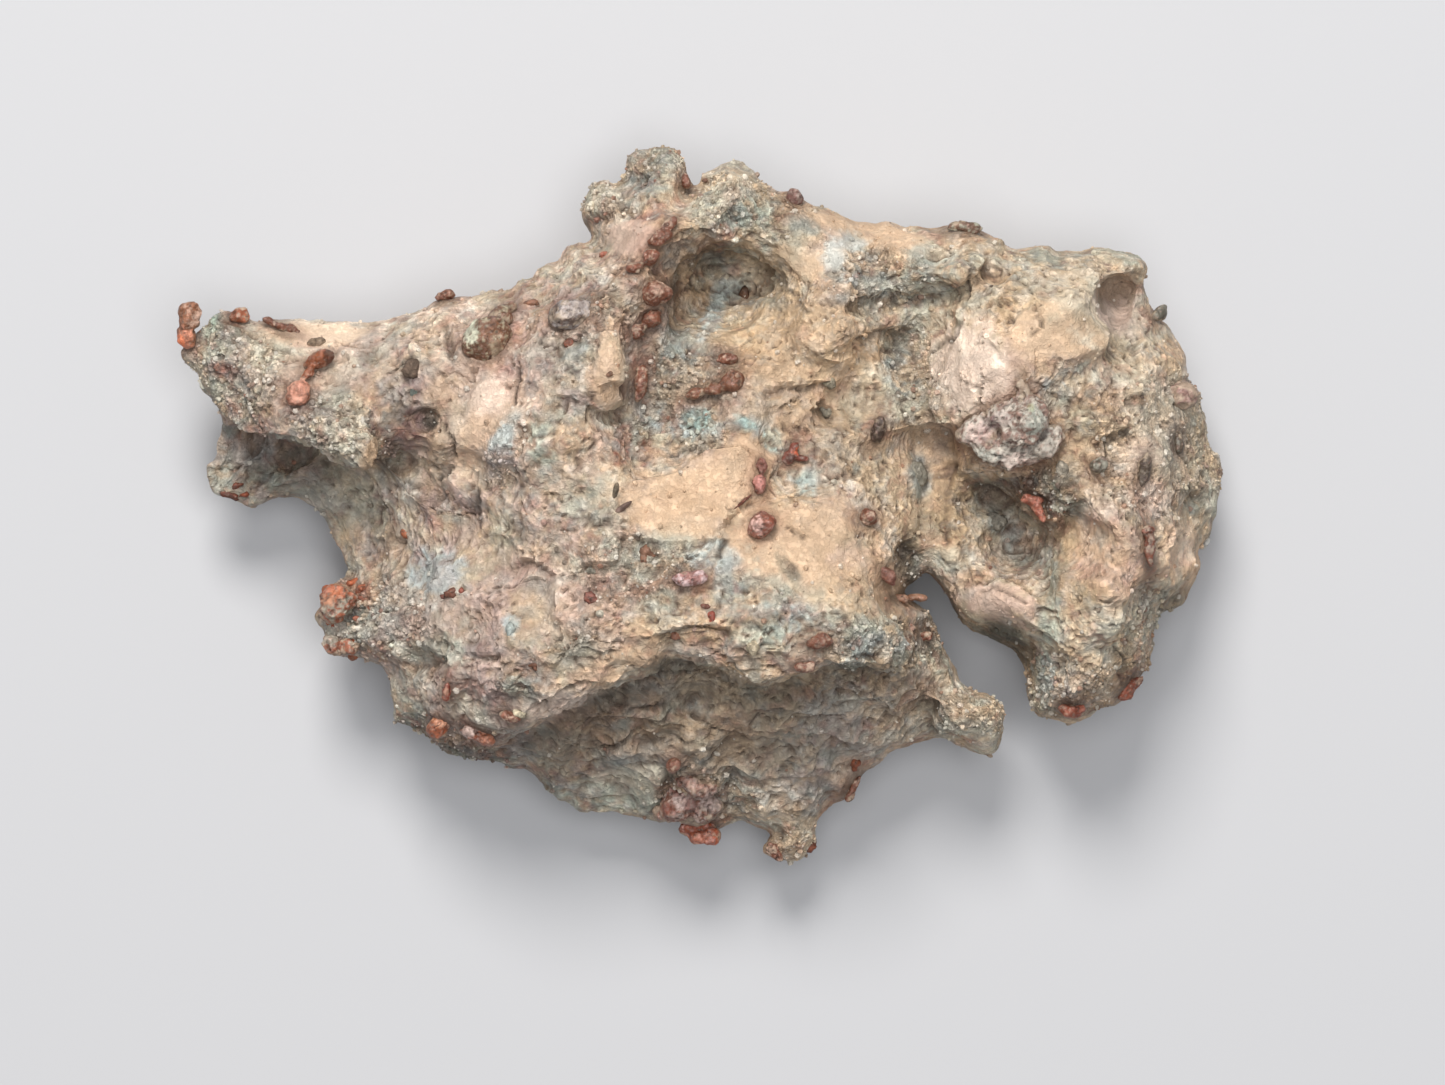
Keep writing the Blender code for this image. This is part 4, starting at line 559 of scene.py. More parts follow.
# Blotches of paint, laid in order: place and half sizes in pixels, turn in degrees, strength
BLOTCHES = [
    ("pink", 500, 400, 130, 120, 0, 0.6), ("mauve", 420, 640, 90, 90, 0, 0.5),
    # The grey over the lower face, at (660, 750), is partly the stone's own colour and partly painted shade
    ("pink", 560, 600, 110, 70, 0, 0.5), ("grey", 660, 750, 210, 70, -4, 0.85),
    ("moss", 745, 705, 110, 30, 8, 0.6), ("brown", 640, 705, 90, 26, 18, 0.45),
    ("mauve", 860, 715, 60, 34, 0, 0.7), ("tan", 600, 735, 60, 26, 10, 0.4),
    ("tan", 700, 735, 60, 24, 0, 0.5), ("grey", 850, 720, 90, 40, 0, 0.5),
    ("cream", 630, 780, 48, 16, 6, 0.95), ("slate", 560, 775, 24, 26, -40, 0.3),
    ("tan", 585, 728, 52, 20, 15, 0.6), ("tan", 560, 762, 30, 22, 0, 0.5),
    ("slate", 622, 723, 15, 6, 12, 0.6), ("slate", 624, 760, 18, 6, 4, 0.6),
    ("pale_green", 620, 800, 50, 14, -8, 0.6), ("brown", 865, 668, 36, 12, -18, 0.8),
    ("grey_green", 740, 810, 60, 22, 0, 0.6), ("cream", 800, 838, 26, 26, 0, 0.5),
    ("mauve", 815, 795, 36, 24, 0, 0.4), ("white", 778, 800, 20, 15, 0, 0.7),
    ("cream", 905, 728, 34, 14, 14, 0.6), ("cream", 880, 700, 30, 18, 0, 0.4),
    ("grey", 255, 465, 70, 44, 0, 0.9), ("moss", 300, 470, 50, 22, 0, 0.6),
    ("brown", 288, 468, 18, 8, 0, 0.8), ("grey", 325, 510, 30, 30, 0, 0.7),
    ("cream", 285, 360, 100, 48, 0, 0.75), ("cream", 345, 432, 48, 28, -28, 0.75),
    ("pale_pink", 400, 330, 110, 24, 4, 0.85), ("buff", 320, 336, 60, 12, 0, 0.5),
    ("pink", 300, 385, 30, 28, 0, 0.5), ("grey_green", 225, 330, 26, 16, 0, 0.7),
    ("pale_green", 212, 328, 12, 9, 0, 0.8), ("grey", 232, 385, 28, 30, -40, 0.5),
    ("red", 216, 372, 14, 9, 0, 0.6), ("red", 262, 420, 24, 7, -28, 0.5),
    ("grey_green", 330, 405, 34, 12, 30, 0.8), ("grey_green", 390, 345, 44, 12, 50, 0.6),
    ("grey", 372, 350, 9, 22, -10, 0.6), ("buff", 430, 330, 30, 14, 30, 0.5),
    ("dark_mauve", 404, 420, 27, 32, -10, 0.95), ("mauve", 402, 392, 30, 16, 0, 0.7),
    ("brown", 388, 462, 8, 26, -14, 0.7), ("tan", 376, 458, 10, 20, -20, 0.95),
    ("verdigris", 215, 324, 10, 7, -40, 0.85), ("moss", 230, 333, 12, 12, 0, 0.6),
    ("rust", 222, 372, 13, 8, 0, 0.5), ("red", 238, 412, 10, 7, -40, 0.6),
    # The darkest paint at (303, 419) is painted shade
    ("red", 260, 430, 14, 6, -20, 0.6), ("painted_shade", 303, 419, 9, 5, -30, 0.6),
    ("brown", 404, 455, 22, 26, 0, 0.5), ("tan", 440, 452, 14, 28, -8, 0.6),
    ("tan", 455, 400, 28, 20, 0, 0.5), ("peach", 485, 440, 24, 40, -10, 0.6),
    ("pale_pink", 490, 400, 26, 22, 0, 0.6), ("tan", 430, 510, 40, 14, 0, 0.4),
    ("mauve", 465, 500, 26, 14, 0, 0.6), ("white", 402, 494, 22, 17, 0, 0.85),
    ("cream", 400, 520, 26, 14, 0, 0.5), ("grey_green", 360, 510, 18, 34, 0, 0.4),
    ("buff", 350, 545, 14, 26, 0, 0.5), ("grey_green", 560, 425, 20, 60, -20, 0.7),
    ("pale_green", 548, 445, 18, 22, 0, 0.6), ("grey_green", 600, 500, 36, 24, 0, 0.7),
    ("pale_blue", 505, 448, 14, 30, -24, 0.85), ("mauve", 500, 462, 16, 12, 0, 0.5),
    ("peach", 575, 440, 20, 24, 0, 0.8), ("tan", 580, 458, 18, 8, 0, 0.6),
    ("mauve", 575, 405, 16, 14, 0, 0.6), ("mauve", 545, 360, 26, 24, 0, 0.5),
    ("mauve", 575, 308, 24, 16, 0, 0.7), ("grey_green", 600, 312, 20, 16, 0, 0.5),
    ("red", 600, 292, 14, 7, 0, 0.7), ("white", 605, 283, 6, 5, 0, 0.8), ("pink", 580, 265, 34, 16, 0, 0.5),
    ("cream", 590, 270, 26, 8, 0, 0.6), ("peach", 612, 370, 14, 38, 0, 0.8),
    ("tan", 604, 392, 14, 14, 0, 0.6), ("grey", 628, 440, 12, 30, 0, 0.7),
    ("slate", 645, 385, 18, 44, 0, 0.7), ("red", 625, 440, 7, 22, 0, 0.6),
    ("red", 648, 455, 12, 10, 0, 0.85), ("red", 622, 460, 10, 6, 0, 0.8), ("rust", 640, 375, 8, 26, 0, 0.7),
    ("grey_green", 690, 380, 46, 60, 0, 0.75), ("slate", 660, 345, 26, 20, 0, 0.5),
    ("pale_blue", 690, 425, 34, 14, -8, 0.8), ("pale_blue", 655, 415, 20, 14, 0, 0.5),
    ("pale_blue", 760, 430, 26, 10, -40, 0.8), ("pale_blue", 800, 478, 18, 20, 0, 0.7),
    ("grey_green", 780, 455, 24, 16, 0, 0.6), ("buff", 790, 350, 80, 50, 0, 0.8),
    ("tan", 800, 420, 80, 22, 0, 0.5), ("ochre", 760, 330, 34, 26, 0, 0.35),
    ("grey_green", 845, 455, 50, 26, 0, 0.45), ("tan", 695, 300, 22, 34, 0, 0.7),
    # The brown at (700, 256), along the hollow's upper wall, is painted shade
    ("brown", 672, 300, 12, 40, 0, 0.6), ("brown", 700, 256, 30, 10, 0, 0.8),
    ("moss", 740, 262, 34, 14, 0, 0.6), ("buff", 740, 330, 34, 26, 0, 0.6),
    ("cream", 748, 278, 30, 22, 0, 0.7), ("peach", 815, 335, 40, 18, 20, 0.6),
    ("peach", 872, 328, 30, 14, 0, 0.6), ("peach", 775, 375, 30, 18, 0, 0.6),
    ("pale_blue", 712, 318, 9, 30, -28, 0.85), ("pale_blue", 730, 292, 16, 14, 0, 0.5),
    ("slate", 680, 345, 10, 22, 0, 0.5), ("peach", 690, 500, 72, 34, -4, 0.95),
    ("peach", 740, 465, 36, 26, 0, 0.9), ("peach", 800, 545, 80, 42, -10, 0.95),
    ("tan", 700, 505, 44, 9, -24, 0.45), ("white", 860, 500, 8, 26, 30, 0.6),
    ("pink", 850, 560, 22, 26, 0, 0.5), ("ochre", 790, 470, 20, 12, 0, 0.3),
    ("buff", 860, 585, 40, 22, 0, 0.5), ("grey_green", 660, 560, 70, 22, 0, 0.8),
    ("pale_blue", 715, 560, 22, 16, 0, 0.7), ("pale_green", 650, 600, 26, 14, 0, 0.6),
    ("moss", 690, 596, 36, 14, 0, 0.6), ("grey_green", 750, 590, 50, 16, 0, 0.75),
    ("pale_blue", 800, 622, 36, 22, 0, 0.75), ("slate", 730, 586, 18, 8, 0, 0.6),
    ("pale_green", 765, 632, 26, 12, 0, 0.6), ("buff", 840, 610, 30, 14, 0, 0.6),
    ("grey_green", 870, 642, 70, 26, 0, 0.85), ("pale_blue", 862, 646, 46, 10, 8, 0.6),
    ("slate", 860, 645, 18, 8, 0, 0.6), ("grey_green", 935, 640, 14, 36, 30, 0.7),
    ("dark_mauve", 912, 618, 20, 9, -20, 0.5), ("buff", 680, 625, 50, 14, 0, 0.8),
    ("tan", 655, 645, 24, 12, 20, 0.8), ("brown", 700, 632, 24, 7, -14, 0.6),
    ("pink", 720, 652, 40, 10, 0, 0.7), ("peach", 610, 670, 46, 14, 24, 0.85),
    ("pale_pink", 560, 700, 40, 10, 14, 0.7), ("buff", 755, 668, 30, 14, 0, 0.6),
    ("mauve", 520, 590, 50, 20, 0, 0.4), ("buff", 530, 610, 16, 18, 0, 0.6),
    ("pale_blue", 516, 628, 8, 14, 0, 0.9), ("moss", 575, 645, 26, 18, 0, 0.55),
    ("grey_green", 520, 685, 18, 18, 0, 0.7), ("slate", 535, 672, 12, 14, 0, 0.5),
    ("pale_blue", 440, 574, 30, 24, 0, 0.9), ("white", 425, 600, 18, 9, -20, 0.8),
    ("mauve", 485, 680, 26, 42, 0, 0.7), ("pink", 485, 664, 24, 22, 0, 0.5),
    ("pale_pink", 435, 690, 18, 16, 0, 0.6), ("brown", 430, 672, 26, 5, 4, 0.6),
    ("grey_green", 440, 650, 40, 14, 0, 0.7), ("cream", 470, 710, 24, 26, 0, 0.6),
    ("mauve", 480, 648, 22, 7, 6, 0.7), ("moss", 410, 720, 30, 22, -30, 0.6),
    ("moss", 470, 752, 44, 9, -4, 0.7), ("slate", 540, 742, 36, 12, 8, 0.3),
    ("grey_green", 372, 625, 40, 20, 0, 0.5), ("slate", 350, 612, 18, 14, 0, 0.4),
    ("white", 338, 632, 12, 8, 0, 0.5), ("red", 350, 590, 22, 12, 0, 0.5),
    ("rust", 335, 604, 22, 14, 0, 0.55), ("rust", 346, 646, 22, 7, 0, 0.5),
    ("buff", 365, 585, 20, 16, 0, 0.4), ("grey_green", 350, 572, 12, 10, 0, 0.6),
    ("cream", 735, 188, 30, 26, 0, 0.7), ("grey_green", 780, 222, 40, 20, -20, 0.75),
    ("pale_green", 750, 216, 20, 14, 0, 0.6), ("slate", 735, 222, 16, 14, 0, 0.7),
    ("grey", 650, 160, 32, 16, 0, 0.6), ("slate", 640, 190, 14, 26, -40, 0.8),
    ("grey_green", 655, 196, 18, 8, 40, 0.6), ("cream", 603, 195, 20, 24, 0, 0.8),
    ("moss", 600, 220, 20, 7, 10, 0.7), ("pink", 630, 240, 34, 18, 20, 0.8),
    ("red", 660, 215, 24, 9, 20, 0.6), ("cream", 700, 215, 30, 12, 0, 0.7),
    ("buff", 680, 228, 30, 6, 0, 0.5), ("red", 720, 236, 14, 8, -20, 0.5),
    ("pink", 730, 200, 10, 10, 0, 0.4), ("peach", 850, 226, 60, 12, -12, 0.95),
    ("peach", 895, 246, 36, 18, 0, 0.9), ("peach", 825, 268, 34, 16, 0, 0.7),
    ("pale_blue", 845, 258, 22, 26, -30, 0.7), ("slate", 872, 275, 20, 22, 0, 0.6),
    ("slate", 800, 225, 26, 9, -26, 0.5), ("grey_green", 930, 272, 30, 26, 0, 0.75),
    ("slate", 922, 268, 14, 18, 0, 0.4), ("slate", 870, 302, 54, 8, 4, 0.6),
    ("moss", 930, 296, 34, 8, 14, 0.7), ("buff", 820, 320, 46, 14, 0, 0.6),
    ("tan", 875, 348, 22, 18, 20, 0.8), ("grey_green", 915, 340, 24, 50, 0, 0.7),
    ("slate", 905, 372, 18, 28, 20, 0.6), ("pale_blue", 890, 372, 12, 10, 0, 0.7),
    ("cream", 875, 372, 14, 8, -10, 0.6), ("grey_green", 905, 400, 24, 18, 0, 0.5),
    ("ochre", 1010, 305, 26, 34, 40, 0.4), ("pale_pink", 965, 372, 40, 46, 10, 0.95),
    ("peach", 1050, 340, 50, 30, 0, 0.85), ("peach", 985, 285, 22, 16, 0, 0.6),
    ("grey_green", 1030, 262, 50, 12, -4, 0.6), ("grey", 1035, 290, 16, 12, 0, 0.4),
    ("cream", 1090, 290, 34, 40, 0, 0.6), ("pale_green", 1125, 262, 24, 9, 0, 0.7),
    ("mauve", 1114, 304, 24, 26, 0, 0.7), ("tan", 1112, 290, 20, 14, 0, 0.6),
    ("pink", 1130, 320, 16, 20, 0, 0.5), ("grey_green", 1065, 390, 30, 12, 40, 0.8),
    ("pale_blue", 1050, 385, 18, 9, 45, 0.7), ("slate", 1076, 376, 10, 12, 0, 0.5),
    ("cream", 1130, 420, 60, 60, 0, 0.7), ("ochre", 1080, 430, 22, 34, 20, 0.45),
    ("rust", 1098, 406, 20, 14, 10, 0.45), ("grey_green", 1180, 420, 26, 40, 0, 0.5),
    ("moss", 1132, 403, 14, 7, 0, 0.6), ("pink", 1180, 390, 22, 10, 0, 0.7),
    ("pale_pink", 1120, 455, 22, 26, 0, 0.5), ("grey_green", 1200, 500, 24, 30, 0, 0.6),
    ("pink", 1150, 500, 34, 20, 0, 0.7), ("pale_pink", 1090, 500, 30, 22, 0, 0.5),
    ("pink", 1100, 560, 36, 46, 0, 0.9), ("peach", 1182, 555, 24, 34, 0, 0.95),
    ("pale_pink", 1178, 548, 14, 20, 0, 0.4), ("ochre", 1065, 545, 14, 22, 0, 0.5),
    ("rust", 1100, 575, 24, 24, 0, 0.25), ("grey_green", 1150, 600, 14, 40, 10, 0.7),
    ("cream", 1100, 640, 40, 34, 0, 0.7), ("pale_green", 1045, 620, 9, 42, -6, 0.8),
    ("pale_blue", 1052, 680, 14, 26, 0, 0.6), ("ochre", 1120, 650, 14, 34, -8, 0.4),
    ("moss", 1125, 670, 9, 24, 0, 0.5), ("mauve", 1075, 690, 26, 18, 0, 0.4),
    ("moss", 1050, 560, 14, 40, 0, 0.6), ("slate", 993, 523, 7, 12, 10, 0.7),
    ("pale_blue", 1008, 536, 9, 18, 0, 0.6), ("moss", 1026, 562, 16, 12, 0, 0.6),
    # The darkest paint in the notch, on this line, is painted shade
    ("painted_shade", 912, 560, 14, 22, 0, 0.65), ("painted_shade", 903, 576, 8, 8, 0, 0.5),
    ("brown", 1050, 494, 25, 22, -30, 0.5), ("dark_mauve", 406, 424, 26, 20, -10, 0.6),
    ("mauve", 440, 505, 24, 12, 30, 0.6), ("red", 624, 452, 5, 11, 15, 0.8),
    ("red", 648, 453, 5, 15, -10, 0.85), ("red", 644, 385, 6, 12, 0, 0.7),
    ("slate", 700, 366, 34, 14, 30, 0.5), ("moss", 788, 569, 17, 8, -55, 0.6),
    ("brown", 790, 568, 11, 5, -55, 0.5), ("cream", 990, 712, 18, 14, 0, 0.5),
    ("turquoise", 700, 421, 16, 8, 0, 0.8), ("turquoise", 745, 424, 17, 7, -30, 0.8),
    ("turquoise", 770, 442, 13, 8, -50, 0.8), ("turquoise", 802, 484, 13, 16, 0, 0.5),
    ("dark_mauve", 790, 464, 14, 6, 0, 0.6), ("rust", 648, 452, 9, 13, 0, 0.85),
    ("rust", 622, 460, 9, 7, -30, 0.75), ("mauve", 446, 575, 20, 16, 0, 0.35),
    ("pale_green", 452, 646, 16, 14, -30, 0.7), ("cream", 464, 692, 6, 24, 5, 0.7),
    ("rust", 352, 588, 24, 9, 20, 0.5), ("peach", 948, 553, 12, 12, 0, 0.9),
    ("pale_blue", 974, 556, 12, 10, 0, 0.6), ("brown", 964, 556, 3, 9, 0, 0.8),
    ("moss", 1046, 492, 28, 25, -30, 0.75), ("brown", 1036, 478, 20, 7, 0, 0.6),
    ("ochre", 1085, 592, 26, 14, 0, 0.5), ("peach", 1102, 545, 22, 20, 0, 0.7),
    ("brown", 1143, 572, 8, 24, 0, 0.7), ("brown", 1197, 500, 10, 8, 0, 0.6),
    ("pale_pink", 1147, 492, 10, 8, -30, 0.8), ("peach", 1172, 508, 9, 9, 0, 0.8),
    ("dark_mauve", 1132, 402, 9, 6, 0, 0.7), ("ochre", 950, 500, 22, 50, 0, 0.55),
    # The tan at (1000, 500) and the brown at (1000, 486) below it, in the recess under the crown, are painted
    # shade
    ("peach", 940, 480, 12, 30, 0, 0.5), ("tan", 1000, 500, 26, 10, 0, 0.6),
    ("brown", 1000, 486, 34, 6, 0, 0.7), ("slate", 916, 475, 12, 20, 20, 0.8),
    ("moss", 905, 520, 16, 30, 0, 0.5), ("tan", 915, 440, 26, 12, 0, 0.5),
    ("moss", 908, 560, 12, 20, 0, 0.7), ("pale_green", 950, 560, 18, 14, 0, 0.5),
    # The moss at (1010, 645), on the facet's underside, is painted shade
    ("pink", 992, 602, 38, 16, -10, 0.9), ("moss", 1010, 645, 26, 12, -40, 0.8),
    ("slate", 960, 590, 14, 9, -30, 0.4), ("cream", 985, 718, 26, 26, 0, 0.8),
    ("white", 975, 692, 20, 7, -20, 0.6), ("white", 1002, 712, 5, 16, 0, 0.5),
    ("brown", 934, 728, 14, 10, 0, 0.6), ("cream", 960, 700, 24, 12, 0, 0.6),
    ("grey_green", 990, 690, 24, 8, -20, 0.7), ("grey_green", 950, 730, 18, 12, 0, 0.6),
    ("ochre", 990, 712, 14, 9, 0, 0.4), ("moss", 1002, 740, 8, 16, 0, 0.5),
    ("dark_mauve", 738, 722, 16, 14, 0, 0.6), ("slate", 700, 712, 16, 8, -30, 0.6),
    # The darkest paint in the pits on this line and at (433, 424) below is painted shade
    ("painted_shade", 668, 785, 7, 14, -20, 0.7), ("painted_shade", 434, 425, 9, 7, 0, 0.9),
    ("grey", 452, 345, 5, 20, 12, 0.7), ("slate", 578, 356, 16, 9, 25, 0.8),
    ("painted_shade", 433, 424, 8, 6, 0, 0.9), ("cream", 523, 711, 8, 6, 0, 0.9), ("white", 735, 243, 5, 3, 0, 0.9),
    ("rust", 695, 800, 40, 26, 0, 0.5), ("slate", 710, 806, 12, 12, 0, 0.5),
    ("rust", 770, 850, 12, 10, 0, 0.5),
]

# Where the rock is smooth, crusted with grains, or splits in flakes: place, half sizes, turn
SMOOTH_PX = [
    (690, 500, 76, 36, -4), (800, 545, 82, 44, -10), (740, 465, 34, 26, 0), (968, 366, 42, 54, 10),
    (1112, 306, 22, 26, 0), (1045, 335, 50, 36, 0), (870, 236, 70, 16, -8), (612, 370, 14, 40, 0),
    (630, 240, 30, 16, 20), (376, 458, 9, 18, -20), (992, 598, 36, 18, -6), (948, 553, 10, 10, 0),
    (320, 332, 50, 12, 0), (800, 260, 30, 18, 0), (490, 420, 24, 34, 0),
]
CRUST_PX = [
    (1046, 492, 28, 26, -30), (788, 569, 17, 8, -55), (985, 715, 22, 22, 0), (912, 562, 16, 24, 0),
    (434, 425, 14, 12, 0), (235, 375, 50, 50, 0), (345, 430, 50, 30, -25), (650, 165, 40, 24, 0),
    (605, 195, 26, 30, 0), (740, 205, 50, 30, 0), (370, 620, 60, 50, 0), (575, 640, 20, 20, 0),
    (515, 685, 22, 18, 0), (640, 570, 60, 30, 0), (780, 225, 50, 20, -20), (880, 280, 40, 30, 0),
    (915, 370, 24, 50, 10), (690, 400, 50, 50, 0), (505, 450, 20, 36, -20), (1150, 450, 70, 60, 0),
    (1140, 640, 30, 50, 0), (870, 640, 60, 26, 0), (700, 805, 60, 30, 0), (795, 850, 30, 20, 0),
    (450, 745, 60, 20, -20), (1060, 690, 40, 30, 0), (930, 630, 20, 30, 0), (952, 715, 16, 26, 20),
    (966, 690, 14, 8, 0), (590, 320, 36, 30, 0),
]
FAIR_PX = [
    (700, 735, 190, 50, -4), (640, 780, 60, 26, 0), (800, 350, 80, 46, 0), (790, 405, 80, 24, 0),
    (1105, 570, 40, 60, 0), (1185, 560, 24, 36, 0), (985, 605, 44, 20, 0), (1115, 305, 26, 34, 0),
    (1060, 300, 40, 30, 0), (460, 420, 60, 60, 0), (480, 610, 90, 70, 0), (620, 660, 70, 24, 20),
    (930, 480, 26, 60, 0), (880, 590, 50, 24, 0), (1150, 420, 40, 60, 0), (330, 370, 60, 40, 0),
    (320, 510, 40, 40, 0),
]
FLAKY_PX = [
    (660, 750, 210, 80, -4), (860, 710, 100, 50, 0), (600, 650, 70, 30, 20), (400, 440, 40, 50, 0),
    (760, 640, 80, 30, 0), (480, 690, 50, 50, 0),
]

# How much painted shadow lies under each of these ledges
PAINTED_SHADOW_UNDER_LEDGES = {"main_ledge": 0.65, "arm_overhang": 0.2, "facet_underside": 0.35, "crown_shadow": 0.25}

# Places that lie deep and dim, where shade is painted on, given like the blotches
PAINTED_SHADE_PX = [
    (1052, 490, 24, 24, -30, 0.2), (455, 752, 32, 9, -10, 0.3), (434, 425, 7, 6, 0, 0.8),
    (700, 262, 42, 16, 0, 0.4), (676, 310, 14, 30, 0, 0.3), (660, 740, 200, 60, -4, 0.1),
    (300, 470, 60, 26, 0, 0.22), (1000, 484, 38, 9, 0, 0.3), (985, 500, 40, 16, 0, 0.15),
    (1010, 640, 34, 14, -40, 0.5), (1175, 600, 24, 12, 30, 0.4), (905, 560, 14, 22, 0, 0.5),
    (668, 664, 30, 8, -10, 0.5),
]


def at(px, py):
    """The place in metres of a picture pixel, X to the right and Y up."""
    return ((px - PICTURE_MIDDLE_PX[0]) * METRES_PER_PX, (PICTURE_MIDDLE_PX[1] - py) * METRES_PER_PX)


def line_at(line_px):
    """A line of picture pixels as places in metres."""
    return [at(px, py) for px, py in line_px]


def smooth_step(t):
    """0 below 0, 1 above 1 and an S curve between."""
    t = np.clip(t, 0, 1)
    return t * t * (3 - 2 * t)


def fading_ends(share, part):
    """1 along a line and falling to 0 over this part of it at each end."""
    return smooth_step(share / part) * smooth_step((1 - share) / part)


def thin_plate(spots):
    """A function of x and y: the least bent sheet through spot heights."""
    places = np.array([at(px, py) for px, py, _ in spots])
    heights = np.array([height * MM for _, _, height in spots])

    def kernel(x, y):
        """Squared distance to each spot times its logarithm."""
        square = (x[:, None] - places[:, 0]) ** 2 + (y[:, None] - places[:, 1]) ** 2
        return square * np.log(square + 1e-12)

    count = len(spots)
    plane = np.column_stack([np.ones(count), places])
    system = np.zeros((count + 3, count + 3))
    system[:count, :count] = kernel(places[:, 0], places[:, 1])
    system[:count, count:] = plane
    system[count:, :count] = plane.T
    weights = np.linalg.solve(system, np.concatenate([heights, np.zeros(3)]))

    def sheet(x, y):
        """The weighted kernels and a sloping plane."""
        return kernel(x, y) @ weights[:count] + weights[count] + x * weights[-2] + y * weights[-1]

    return sheet


def nearest_on_line(line, x, y):
    """Distance to a line of places, positive on its left hand, and the share of it passed."""
    best = np.full(len(x), np.inf)
    side = np.ones(len(x))
    share = np.zeros(len(x))
    lengths = [math.dist(a, b) for a, b in zip(line, line[1:])]
    passed = 0.0
    for (x0, y0), (x1, y1), length in zip(line, line[1:], lengths):
        dx, dy = (x1 - x0) / length, (y1 - y0) / length
        along = np.clip((x - x0) * dx + (y - y0) * dy, 0, length)
        off_x, off_y = x - x0 - along * dx, y - y0 - along * dy
        distance = np.hypot(off_x, off_y)
        nearer = distance < best
        best = np.where(nearer, distance, best)
        side = np.where(nearer, np.sign(off_y * dx - off_x * dy), side)
        share = np.where(nearer, (passed + along) / sum(lengths), share)
        passed += length
    return best * side, share


def lattice_value(cell, seed):
    """A fixed pseudo-random number from -1 to 1 for each lattice point of a plane or of space."""
    mixed = (cell * (374761393, 668265263, 1440662683)[:cell.shape[-1]]).sum(-1) + seed * 974634777
    mixed = mixed & 0xFFFFFFFF
    mixed = ((mixed ^ (mixed >> 13)) * 1274126177) & 0xFFFFFFFF
    return ((mixed ^ (mixed >> 16)) & 0xFFFF) / 32767.5 - 1


def noise(places, wavelength, seed):
    """Smooth noise from -1 to 1 in a plane or in space: lattice values blended by S curves."""
    scaled = places / wavelength
    corner = np.floor(scaled).astype(np.int64)
    share = smooth_step(scaled - corner)
    total = np.zeros(len(places))
    for step in np.ndindex(*(2,) * places.shape[1]):
        weight = np.where(step, share, 1 - share).prod(1)
        total += weight * lattice_value(corner + step, seed)
    return total


def octaves(places, wavelength, seed, count, gain=0.55):
    """Noise of several sizes, each half the size of the last and gain times its height."""
    return sum(gain ** octave * noise(places, wavelength / 2 ** octave, seed + octave)
               for octave in range(count))


def chips(places, wavelength, seed, tilt=0.9):
    """Hollows with ridges between, and a number for each hollow: the lowest of many tilted bowls."""
    scaled = places / wavelength
    corner = np.floor(scaled).astype(np.int64)
    lowest = np.full(len(places), np.inf)
    tag = np.zeros(len(places))
    for step in np.ndindex(3, 3, 3):
        cell = corner + step - 1
        jitter = np.stack([lattice_value(cell, seed + axis) for axis in range(3)], 1)
        lean = np.stack([lattice_value(cell, seed + 3 + axis) for axis in range(3)], 1)
        off = scaled - cell - 0.5 - 0.42 * jitter
        bowl = (off ** 2).sum(1) + tilt * (off * lean).sum(1)
        tag = np.where(bowl < lowest, lean[:, 0], tag)
        lowest = np.minimum(lowest, bowl)
    return lowest, tag


def from_ellipse(x, y, spot, unit):
    """Distance from the middle of a turned ellipse, in its own half sizes."""
    px, py, half_length, half_width, turn = spot
    x0, y0 = at(px, py)
    c, s = math.cos(math.radians(turn)), math.sin(math.radians(turn))
    along = ((x - x0) * c + (y - y0) * s) / (half_length * unit)
    across = ((y - y0) * c - (x - x0) * s) / (half_width * unit)
    return np.hypot(along, across)


def zone(spots, x, y, seed):
    """1 inside any of these ellipses and 0 outside, with ragged edges."""
    ragged = 0.3 * octaves(np.column_stack([x, y]), 5 * MM, seed, 3)
    return np.max([smooth_step((1.2 + ragged - from_ellipse(x, y, spot, METRES_PER_PX)) / 0.3)
                   for spot in spots], axis=0)


def ledges(table, x, y):
    """Each ledge takes its drop off the low side, fading with distance and towards its ends."""
    total = np.zeros(len(x))
    for drop, ramp, reach, line_px in table.values():
        off, share = nearest_on_line(line_at(line_px), x, y)
        fade = np.exp(-(np.abs(off) / (reach * MM)) ** 1.5)
        total -= drop * MM * smooth_step(off / (ramp * MM)) * fade * fading_ends(share, 0.12)
    return total


def bosses(table, x, y):
    """Each boss adds its height, and each pit takes its depth, in a bell over a turned ellipse."""
    return sum(spot[5] * MM * np.exp(-from_ellipse(x, y, spot[:5], MM) ** 2.8) for spot in table)


